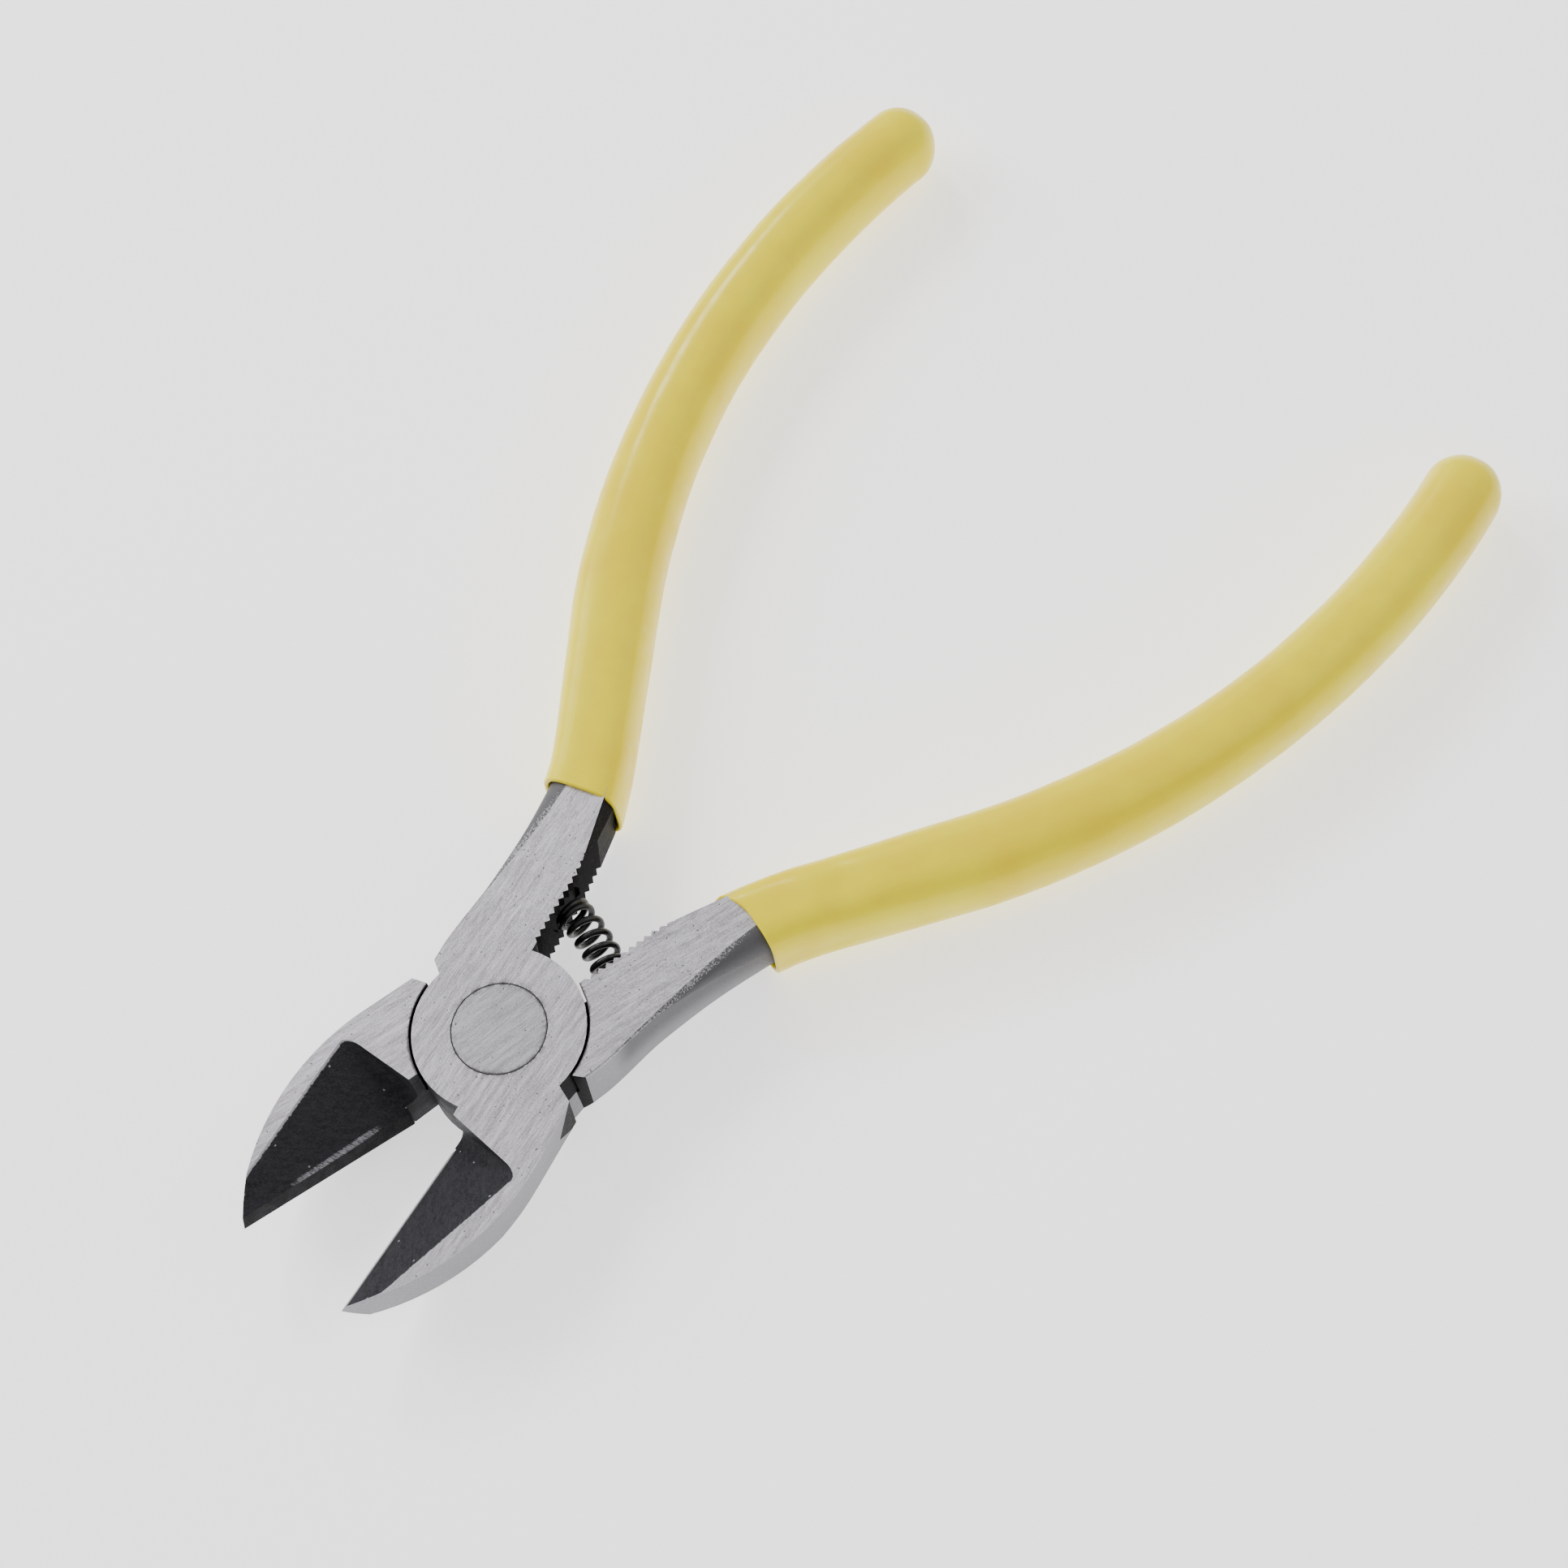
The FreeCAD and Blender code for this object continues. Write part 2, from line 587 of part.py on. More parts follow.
def make_spring():
    """The return spring: a coil about a line that leaves each pocket square and bends between them."""
    start, start_axis = spring_seat(UPPER, dim("pocket_reach_upper"))
    finish, finish_axis = spring_seat(LOWER, dim("pocket_reach_lower"))
    handle_length = (finish - start).Length / 3
    control = [start, start + start_axis * handle_length, finish + finish_axis * handle_length, finish]
    line = Part.BezierCurve()
    line.setPoles(control)
    turns, per_turn = dim("spring_turns"), 16
    steps = int(turns * per_turn)
    end_turns, end_share = 1.25, 0.075
    points = []
    for step in range(steps + 1):
        turned = turns * step / steps
        if turned < end_turns:
            along = end_share * turned / end_turns
        elif turned > turns - end_turns:
            along = 1 - end_share * (turns - turned) / end_turns
        else:
            along = end_share + (1 - 2 * end_share) * (turned - end_turns) / (turns - 2 * end_turns)
        centre = line.value(along)
        tangent = line.tangent(along)[0]
        across = tangent.cross(Z_AXIS).normalize()
        angle = 2 * math.pi * turned
        points.append(centre + (across * math.cos(angle) + Z_AXIS * math.sin(angle)) * dim("spring_radius"))
    curve = Part.BSplineCurve()
    curve.interpolate(points)
    spine = Part.Wire([curve.toShape()])
    first = curve.tangent(curve.FirstParameter)[0]
    profile = Part.Wire([Part.Circle(points[0], first, dim("spring_wire")).toShape()])
    spring = doc.addObject("Part::Feature", "return_spring")
    spring.Shape = spine.makePipeShell([profile], True, True)
    return spring


# ---------------------------------------------------------------- assembly


def check(objects):
    """Stops the build if any object failed or any sub-part isn't one valid solid."""
    doc.recompute()
    for obj in doc.Objects:
        if "Invalid" in obj.State or "Error" in obj.State:
            raise RuntimeError(f"{obj.Name} failed: {obj.State}")
    for node in objects:
        shape = node.Shape
        if shape.isNull() or not shape.isValid():
            raise RuntimeError(f"{node.Label} has no valid shape")
        solids = len(shape.Solids)
        print(f"{node.Label}: {solids} solid, {len(shape.Faces)} faces, {shape.Volume:.1f} mm3")
        if solids != 1:
            raise RuntimeError(f"{node.Label} has {solids} solids")


def main():
    """Builds every sub-part, checks it and writes it."""
    upper = make_lever("upper", UPPER, dim("throat_upper"), dim("pocket_reach_upper"))
    lower = make_lever("lower", LOWER, dim("throat_lower"), dim("pocket_reach_lower"))
    doc.recompute()
    nodes = [
        place_node("upper_lever", upper, UPPER),
        place_node("lower_lever", lower, LOWER),
        place_node("upper_grip", make_grip("upper_grip", UPPER, upper, dim("grip_end_upper")), UPPER),
        place_node("lower_grip", make_grip("lower_grip", LOWER, lower, dim("grip_end_lower")), LOWER),
        make_rivet(),
        make_spring(),
    ]
    check(nodes)
    os.makedirs("parts", exist_ok=True)
    for node in nodes:
        node.Shape.exportStep(f"parts/{node.Label}.step")


main()
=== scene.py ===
"""Looks of small diagonal side cutters: ground and blackened steel, an oiled spring and dipped vinyl grips.

Lengths are in millimetres in each lever's own closed axes, where the cutting edge lies along +X and the
jaw is on the +Y side. They turn into metres in the row frame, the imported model's own, at the last step.
The lower lever is the upper one's mirror image in Y, and each stands open by half of the relaxed opening.
"""

from __future__ import annotations

import logging
import math
from dataclasses import dataclass, field
from enum import Enum

import bpy
from mathutils import Euler, Matrix, Vector, noise

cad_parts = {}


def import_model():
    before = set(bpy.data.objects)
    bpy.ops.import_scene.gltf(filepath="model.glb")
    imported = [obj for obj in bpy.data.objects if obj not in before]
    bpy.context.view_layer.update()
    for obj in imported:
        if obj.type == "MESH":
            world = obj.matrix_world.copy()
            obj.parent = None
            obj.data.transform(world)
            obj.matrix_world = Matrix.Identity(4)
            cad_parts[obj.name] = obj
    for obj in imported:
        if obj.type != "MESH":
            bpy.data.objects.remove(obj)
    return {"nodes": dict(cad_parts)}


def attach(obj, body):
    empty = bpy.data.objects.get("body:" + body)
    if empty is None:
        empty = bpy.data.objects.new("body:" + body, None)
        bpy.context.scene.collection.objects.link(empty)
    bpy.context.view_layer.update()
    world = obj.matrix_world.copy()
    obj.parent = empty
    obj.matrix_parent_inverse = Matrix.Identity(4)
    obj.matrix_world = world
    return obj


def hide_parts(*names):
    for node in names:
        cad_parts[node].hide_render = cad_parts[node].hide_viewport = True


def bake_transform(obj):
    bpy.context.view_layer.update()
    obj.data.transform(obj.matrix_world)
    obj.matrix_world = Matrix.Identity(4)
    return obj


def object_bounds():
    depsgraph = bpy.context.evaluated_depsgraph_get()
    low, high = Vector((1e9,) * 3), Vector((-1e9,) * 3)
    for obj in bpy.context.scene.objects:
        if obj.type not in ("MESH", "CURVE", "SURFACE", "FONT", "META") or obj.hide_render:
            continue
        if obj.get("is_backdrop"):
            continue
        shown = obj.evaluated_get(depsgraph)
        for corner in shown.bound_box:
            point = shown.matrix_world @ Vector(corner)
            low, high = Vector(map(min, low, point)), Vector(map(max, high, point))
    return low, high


LOG = logging.getLogger("side_cutters")
MM = 0.001
HALF_OPENING = math.radians(12.2)
MIDDLE_HEIGHT = 4.0
TOP_HEIGHT = 8.0
Z_AXIS = Vector((0.0, 0.0, 1.0))
MIX_FIRST, MIX_SECOND, MIX_RESULT = 6, 7, 2

Triple = tuple[float, float, float]
Socket = bpy.types.NodeSocket


class Side(Enum):
    """Which lever: the one whose hub is the upper half of the lap joint, or the lower one."""

    UPPER = 1
    LOWER = -1

    def to_row(self, point: Vector) -> Vector:
        """Moves a point from the lever's closed axes (mm) to the row frame (m).

        Args:
            point: The point in millimetres, with the jaw on +Y.

        Returns:
            The same point on the open tool, in metres.
        """
        mirrored = Vector((point.x, point.y * self.value, point.z))
        return Matrix.Rotation(HALF_OPENING * self.value, 3, "Z") @ mirrored * MM

    def from_row(self, vector: Vector) -> Vector:
        """Turns a row vector, of any unit, into the lever's closed axes.

        Args:
            vector: A position or a direction in the row frame.

        Returns:
            The vector in the closed axes, with its length kept.
        """
        turned = Matrix.Rotation(-HALF_OPENING * self.value, 3, "Z") @ vector
        return Vector((turned.x, turned.y * self.value, turned.z))


class Body(Enum):
    """The rigid bodies of the tool."""

    UPPER = "upper_half"
    LOWER = "lower_half"


# ---------------------------------------------------------------- shader wiring


@dataclass
class Wiring:
    """Short calls for wiring nodes in one tree."""

    tree: bpy.types.NodeTree

    def add(self, kind: str, inputs: dict | None = None, **settings: object) -> bpy.types.Node:
        """Adds a node.

        Args:
            kind: The node's type name without its ShaderNode prefix, or a group's input or output node.
            inputs: Input names or numbers, each with a constant or the socket that feeds it.
            **settings: Properties of the node itself.

        Returns:
            The new node.
        """
        full = kind if kind.startswith("Node") else f"ShaderNode{kind}"
        node = self.tree.nodes.new(full)
        for name, value in settings.items():
            setattr(node, name, value)
        for name, value in (inputs or {}).items():
            self.feed(node.inputs[name], value)
        return node

    def feed(self, socket: Socket, value: object) -> None:
        """Sets an input to a constant, or links it to another socket.

        Args:
            socket: The input.
            value: The constant, or the socket that feeds it.
        """
        if isinstance(value, Socket):
            self.tree.links.new(value, socket)
        else:
            socket.default_value = value

    def math(self, operation: str, *values: object) -> Socket:
        """One maths node.

        Args:
            operation: Blender's name of the operation.
            *values: Its inputs in order, constants or sockets.

        Returns:
            The result's socket.
        """
        return self.add("Math", dict(enumerate(values)), operation=operation).outputs[0]

    def band(
        self, value: object, low: object, high: object, start: float = 0.0, end: float = 1.0
    ) -> Socket:
        """Maps a value smoothly from one range to another, held at both ends.

        Args:
            value: The socket to map.
            low: The value that gives start.
            high: The value that gives end.
            start: The result at low.
            end: The result at high.

        Returns:
            The result's socket.
        """
        inputs = {"Value": value, "From Min": low, "From Max": high, "To Min": start, "To Max": end}
        return self.add("MapRange", inputs, interpolation_type="SMOOTHSTEP").outputs["Result"]

    def blend(self, factor: object, first: object, second: object) -> Socket:
        """Mixes two colours by a factor.

        Args:
            factor: How much of the second colour there is, from 0 to 1.
            first: The first colour, as three numbers or a socket.
            second: The second colour, likewise.

        Returns:
            The mixed colour's socket.
        """
        node = self.add("Mix", data_type="RGBA")
        self.feed(node.inputs["Factor"], factor)
        for number, colour in ((MIX_FIRST, first), (MIX_SECOND, second)):
            self.feed(node.inputs[number], (*colour, 1.0) if isinstance(colour, tuple) else colour)
        return node.outputs[MIX_RESULT]

    def noise(self, vector: object, scale: object, detail: float = 2.0, rough: float = 0.5) -> Socket:
        """Fractal noise between 0 and 1 along a vector."""
        inputs = {"Vector": vector, "Scale": scale, "Detail": detail, "Roughness": rough}
        return self.add("TexNoise", inputs).outputs["Fac"]

    def stretch(self, vector: object, factors: Triple) -> Socket:
        """Multiplies a vector by three factors, so that a pattern stretches along an axis."""
        return self.add("VectorMath", {0: vector, 1: factors}, operation="MULTIPLY").outputs[0]


@dataclass(frozen=True)
class Effect:
    """A shader node group that several finishes place with their own values."""

    name: str

    def begin(
        self, inputs: dict[str, tuple[str, object]], outputs: tuple[str, ...]
    ) -> tuple[Wiring, bpy.types.NodeOutputs, bpy.types.Node]:
        """Starts the group with its sockets.

        Args:
            inputs: Input names, each with a socket type and a default.
            outputs: Names of the outputs, which are all values.

        Returns:
            The wiring, the group's inputs by name and its output node.
        """
        tree = bpy.data.node_groups.new(self.name, "ShaderNodeTree")
        for name, (kind, default) in inputs.items():
            socket = tree.interface.new_socket(name=name, in_out="INPUT", socket_type=kind)
            if default is not None:
                socket.default_value = default
        for name in outputs:
            tree.interface.new_socket(name=name, in_out="OUTPUT", socket_type="NodeSocketFloat")
        wiring = Wiring(tree)
        entry = wiring.add("NodeGroupInput")
        return wiring, entry.outputs, wiring.add("NodeGroupOutput")

    def place(self, wiring: Wiring, **values: object) -> bpy.types.Node:
        """Puts the group into a material.

        Args:
            wiring: The material's wiring.
            **values: The group's inputs by name, with spaces as underscores.

        Returns:
            The group node.
        """
        tree = bpy.data.node_groups.get(self.name) or self.build()
        node = wiring.add("Group", node_tree=tree)
        for name, value in values.items():
            wiring.feed(node.inputs[name.replace("_", " ")], value)
        return node

    def build(self) -> bpy.types.NodeTree:
        """Builds the group, once for all the materials that place it."""
        raise NotImplementedError


@dataclass(frozen=True)
class GrindLines(Effect):
    """Short parallel lines left by a grinding belt, with grain and deeper scratches."""

    name: str = "grind_lines"

    def build(self) -> bpy.types.NodeTree:
        """Builds the group: noises stretched along X at three widths of line, and an even grain.

        Returns:
            The group's tree.
        """
        inputs = {"Vector": ("NodeSocketVector", None), "Angle": ("NodeSocketFloat", 0.0)}
        wiring, given, result = self.begin(inputs, ("Lines", "Scratches"))
        turn = {"Vector": given["Vector"], "Angle": given["Angle"]}
        along = wiring.add("VectorRotate", turn, rotation_type="Z_AXIS").outputs[0]
        broad = wiring.noise(wiring.stretch(along, (0.22, 2.6, 2.6)), 1.0, 3.0, 0.6)
        fine = wiring.noise(wiring.stretch(along, (0.75, 9.0, 9.0)), 1.0, 4.0, 0.7)
        grain = wiring.noise(along, 7.0, 2.0, 0.6)
        deep = wiring.noise(wiring.stretch(along, (0.3, 5.5, 5.5)), 1.7, 2.0, 0.5)
        total = wiring.math("MULTIPLY_ADD", broad, 0.3, wiring.math("MULTIPLY", fine, 0.4))
        total = wiring.math("MULTIPLY_ADD", grain, 0.3, total)
        wiring.feed(result.inputs["Lines"], wiring.band(total, 0.36, 0.64))
        wiring.feed(result.inputs["Scratches"], wiring.band(deep, 0.63, 0.72))
        return wiring.tree


@dataclass(frozen=True)
class Specks(Effect):
    """Small sparse spots: pits in steel, or bright grains."""

    name: str = "specks"

    def build(self) -> bpy.types.NodeTree:
        """Builds the group: round cells, of which only a share shows, broken up by noise.

        Returns:
            The group's tree.
        """
        inputs = {
            "Vector": ("NodeSocketVector", None),
            "Scale": ("NodeSocketFloat", 1.5),
            "Share": ("NodeSocketFloat", 0.2),
            "Size": ("NodeSocketFloat", 0.2),
        }
        wiring, given, result = self.begin(inputs, ("Mask",))
        ragged = wiring.add("TexNoise", {"Vector": given["Vector"], "Scale": 6.0, "Detail": 2.0})
        shift = {0: ragged.outputs["Color"], "Scale": 0.22}
        offset = wiring.add("VectorMath", shift, operation="SCALE").outputs[0]
        moved = wiring.add("VectorMath", {0: given["Vector"], 1: offset}, operation="ADD").outputs[0]
        cells = wiring.add("TexVoronoi", {"Vector": moved, "Scale": given["Scale"]})
        pick = wiring.add("SeparateColor", {"Color": cells.outputs["Color"]}).outputs[0]
        shown = wiring.math("LESS_THAN", pick, given["Share"])
        size = wiring.math("MULTIPLY", given["Size"], wiring.math("ADD", pick, 0.6))
        spot = wiring.band(cells.outputs["Distance"], size, wiring.math("MULTIPLY", size, 0.5))
        wiring.feed(result.inputs["Mask"], wiring.math("MULTIPLY", spot, shown))
        return wiring.tree


@dataclass(frozen=True)
class Smudges(Effect):
    """Soft uneven patches of oil and dust."""

    name: str = "smudges"

    def build(self) -> bpy.types.NodeTree:
        """Builds the group: slow noise with a soft threshold.

        Returns:
            The group's tree.
        """
        inputs = {"Vector": ("NodeSocketVector", None), "Scale": ("NodeSocketFloat", 0.3)}
        wiring, given, result = self.begin(inputs, ("Mask",))
        patches = wiring.noise(given["Vector"], given["Scale"], 5.0, 0.6)
        wiring.feed(result.inputs["Mask"], wiring.band(patches, 0.35, 0.7))
        return wiring.tree


GRIND_LINES = GrindLines()
SPECKS = Specks()
SMUDGES = Smudges()


# ---------------------------------------------------------------- finishes


@dataclass(frozen=True)
class Finish:
    """What all finishes share: a named material with one Principled shader, in a piece's own millimetres."""

    name: str

    def begin(self, **constants: object) -> tuple[bpy.types.Material, Wiring, bpy.types.Node]:
        """Starts the material.

        Args:
            **constants: Values of the shader's own sockets, with spaces as underscores.

        Returns:
            The material, its wiring and its shader.
        """
        material = bpy.data.materials.new(self.name)
        material.use_nodes = True
        wiring = Wiring(material.node_tree)
        shader = material.node_tree.nodes["Principled BSDF"]
        for name, value in constants.items():
            shader.inputs[name.replace("_", " ")].default_value = value
        return material, wiring, shader

    def axes(self, wiring: Wiring, side: Side) -> Socket:
        """Object coordinates as millimetres in a lever's closed axes.

        Args:
            wiring: The material's wiring.
            side: Which lever.

        Returns:
            The vector's socket.
        """
        place = wiring.add("TexCoord").outputs["Object"]
        per_metre = 1.0 / MM
        inputs = {
            "Vector": place,
            "Rotation": (0.0, 0.0, -HALF_OPENING),
            "Scale": (per_metre, per_metre * side.value, per_metre),
        }
        return wiring.add("Mapping", inputs, vector_type="POINT").outputs[0]

    def bump(
        self, wiring: Wiring, shader: bpy.types.Node, height: Socket, depth: float, strength: float
    ) -> None:
        """Adds a bump to the shader's normal.

        Args:
            wiring: The material's wiring.
            shader: The Principled shader.
            height: The height's socket.
            depth: The bump's depth in millimetres.
            strength: The bump's strength.
        """
        inputs = {"Height": height, "Distance": depth * MM, "Strength": strength}
        wiring.feed(shader.inputs["Normal"], wiring.add("Bump", inputs).outputs["Normal"])


@dataclass(frozen=True)
class GroundSteel(Finish):
    """A face ground flat on a belt: pale, with parallel lines, small pits and oil round the rivet."""

    side: Side = Side.UPPER
    angle: float = 0.0
    pale: Triple = (0.70, 0.67, 0.715)
    dull: Triple = (0.38, 0.36, 0.385)
    smudged: Triple = (0.36, 0.35, 0.37)
    scratched: Triple = (0.27, 0.265, 0.28)
    oil: Triple = (0.045, 0.043, 0.045)
    rivet_radius: float = 4.1
    seat_radius: float = 7.72
    ring_width: tuple[float, float] = (0.10, 0.30)
    halo_reach: float = 0.7

    def build(self) -> bpy.types.Material:
        """Builds the material.

        Returns:
            The material.
        """
        material, wiring, shader = self.begin(Metallic=0.75)
        axes = self.axes(wiring, self.side)
        lines = GRIND_LINES.place(wiring, Vector=axes, Angle=math.radians(self.angle))
        pits = SPECKS.place(wiring, Vector=axes, Scale=2.4, Share=0.25, Size=0.30).outputs["Mask"]
        smudge = SMUDGES.place(wiring, Vector=axes, Scale=0.22).outputs["Mask"]
        colour = wiring.blend(lines.outputs["Lines"], self.dull, self.pale)
        colour = wiring.blend(wiring.math("MULTIPLY", smudge, 0.22), colour, self.smudged)
        scratch = wiring.math("MULTIPLY", lines.outputs["Scratches"], 0.45)
        colour = wiring.blend(scratch, colour, self.scratched)
        dark = wiring.math("MAXIMUM", wiring.math("MULTIPLY", pits, 0.85), self.joint_oil(wiring, axes))
        colour = wiring.blend(dark, colour, self.oil)
        wiring.feed(shader.inputs["Base Color"], colour)
        wiring.feed(shader.inputs["Roughness"], wiring.band(lines.outputs["Lines"], 0.0, 1.0, 0.34, 0.46))
        height = wiring.math("SUBTRACT", lines.outputs["Lines"], wiring.math("MULTIPLY", dark, 1.5))
        self.bump(wiring, shader, height, 0.012, 0.35)
        return material

    def joint_oil(self, wiring: Wiring, axes: Socket) -> Socket:
        """A thin uneven dark ring where the rivet meets the lever, and on the lower lever one round the hub.

        Args:
            wiring: The material's wiring.
            axes: The lever's axes in millimetres.

        Returns:
            The ring's mask.
        """
        flat = wiring.stretch(axes, (1.0, 1.0, 0.0))
        radius = wiring.add("VectorMath", {0: flat}, operation="LENGTH").outputs["Value"]
        patchy = wiring.noise(axes, 1.3, 4.0, 0.75)
        width = wiring.band(patchy, 0.42, 0.60, *self.ring_width)
        away = wiring.math("ABSOLUTE", wiring.math("SUBTRACT", radius, self.rivet_radius))
        near = wiring.band(away, self.halo_reach, 0.0)
        halo = wiring.math("MULTIPLY", near, wiring.band(patchy, 0.40, 0.60, 0.0, 0.5))
        ring = wiring.math("MAXIMUM", wiring.band(away, width, 0.03), halo)
        if self.side is Side.LOWER:
            off_seat = wiring.math("ABSOLUTE", wiring.math("SUBTRACT", radius, self.seat_radius))
            ring = wiring.math("MAXIMUM", ring, wiring.band(off_seat, width, 0.06))
        return wiring.math("MULTIPLY", ring, 0.85)


@dataclass(frozen=True)
class BlackenedSteel(Finish):
    """A jaw's hollow-ground face: blackened, with faint lines, pale grains and perhaps a bright streak."""

    side: Side = Side.UPPER
    angle: float = 0.0
    streak: float = 0.0
    edge_wear: float = 0.5
    black: Triple = (0.012, 0.012, 0.014)
    ground: Triple = (0.040, 0.040, 0.046)
    hazed: Triple = (0.040, 0.039, 0.043)
    wear_and_highlight: Triple = (0.38, 0.37, 0.40)
    bare_grain: Triple = (0.42, 0.41, 0.42)
    bare_rim: Triple = (0.40, 0.39, 0.42)
    ridge_y: float = 1.28
    ridge_slope: float = -0.030
    ridge_width: tuple[float, float] = (0.55, 0.10)
    streak_start: tuple[float, float] = (11.0, 13.5)
    streak_end: tuple[float, float] = (24.0, 20.0)
    hatch_angle: float = 40.0

    def build(self) -> bpy.types.Material:
        """Builds the material.

        Returns:
            The material.
        """
        material, wiring, shader = self.begin(Metallic=0.1, Specular_IOR_Level=0.08)
        axes = self.axes(wiring, self.side)
        lines = GRIND_LINES.place(wiring, Vector=axes, Angle=math.radians(self.angle))
        grains = SPECKS.place(wiring, Vector=axes, Scale=1.6, Share=0.12, Size=0.26).outputs["Mask"]
        smudge = SMUDGES.place(wiring, Vector=axes, Scale=0.5).outputs["Mask"]
        colour = wiring.blend(lines.outputs["Lines"], self.black, self.ground)
        colour = wiring.blend(wiring.math("MULTIPLY", smudge, 0.4), colour, self.hazed)
        colour = wiring.blend(self.streak_mask(wiring, axes), colour, self.wear_and_highlight)
        colour = wiring.blend(wiring.math("MULTIPLY", grains, 0.75), colour, self.bare_grain)
        colour = wiring.blend(self.rim_mask(wiring, axes), colour, self.bare_rim)
        wiring.feed(shader.inputs["Base Color"], colour)
        wiring.feed(shader.inputs["Roughness"], wiring.band(smudge, 0.0, 1.0, 0.45, 0.6))
        height = wiring.math("ADD", lines.outputs["Lines"], grains)
        self.bump(wiring, shader, height, 0.03, 0.5)
        return material

    def streak_mask(self, wiring: Wiring, axes: Socket) -> Socket:
        """A rough bright streak along the ridge above the cutting edge.

        Args:
            wiring: The material's wiring.
            axes: The lever's axes in millimetres.

        Returns:
            The streak's mask, already scaled by its strength.
        """
        place = wiring.add("SeparateXYZ", {0: axes}).outputs
        ridge = wiring.math("MULTIPLY_ADD", place["X"], self.ridge_slope, self.ridge_y)
        away = wiring.math("ABSOLUTE", wiring.math("SUBTRACT", place["Y"], ridge))
        turn = {"Vector": axes, "Angle": math.radians(self.hatch_angle)}
        hatch = wiring.add("VectorRotate", turn, rotation_type="Z_AXIS").outputs[0]
        ragged = wiring.noise(wiring.stretch(hatch, (13.0, 2.2, 2.2)), 1.0, 4.0, 0.8)
        across = wiring.band(away, *self.ridge_width)
        start = wiring.band(place["X"], *self.streak_start)
        finish = wiring.band(place["X"], *self.streak_end)
        present = wiring.math("MULTIPLY", wiring.math("MULTIPLY", start, finish), across)
        broken = wiring.band(wiring.math("MULTIPLY", ragged, present), 0.34, 0.66)
        return wiring.math("MULTIPLY", broken, self.streak)

    def rim_mask(self, wiring: Wiring, axes: Socket) -> Socket:
        """Bare steel in a thin ragged line where the face runs out at the top of the jaw.

        Args:
            wiring: The material's wiring.
            axes: The lever's axes in millimetres.

        Returns:
            The line's mask.
        """
        height = wiring.add("SeparateXYZ", {0: axes}).outputs["Z"]
        ragged = wiring.math("MULTIPLY", wiring.noise(axes, 3.0, 3.0, 0.7), self.edge_wear * 0.4)
        below = wiring.math("SUBTRACT", TOP_HEIGHT, height)
        return wiring.band(wiring.math("SUBTRACT", below, ragged), 0.03, -0.03)


@dataclass(frozen=True)
class HonedBevel(Finish):
    """The narrow bevel along the cutting edge."""

    side: Side = Side.UPPER
    bright: float = 0.2
    grind_angle: float = 78.0
    dark_tint: Triple = (0.35, 0.34, 0.36)
    pale_tint: Triple = (1.0, 0.98, 1.04)

    def build(self) -> bpy.types.Material:
        """Builds the material.

        Returns:
            The material.
        """
        material, wiring, shader = self.begin(Metallic=0.1, Specular_IOR_Level=0.1)
        axes = self.axes(wiring, self.side)
        lines = GRIND_LINES.place(wiring, Vector=axes, Angle=math.radians(self.grind_angle))
        smudge = SMUDGES.place(wiring, Vector=axes, Scale=0.9).outputs["Mask"]
        dark, pale = (tuple(self.bright * part for part in tint) for tint in (self.dark_tint, self.pale_tint))
        factor = wiring.math("MULTIPLY", wiring.math("ADD", lines.outputs["Lines"], smudge), 0.5)
        wiring.feed(shader.inputs["Base Color"], wiring.blend(factor, dark, pale))
        wiring.feed(shader.inputs["Roughness"], wiring.band(lines.outputs["Lines"], 0.0, 1.0, 0.36, 0.5))
        self.bump(wiring, shader, lines.outputs["Lines"], 0.012, 0.4)
        return material


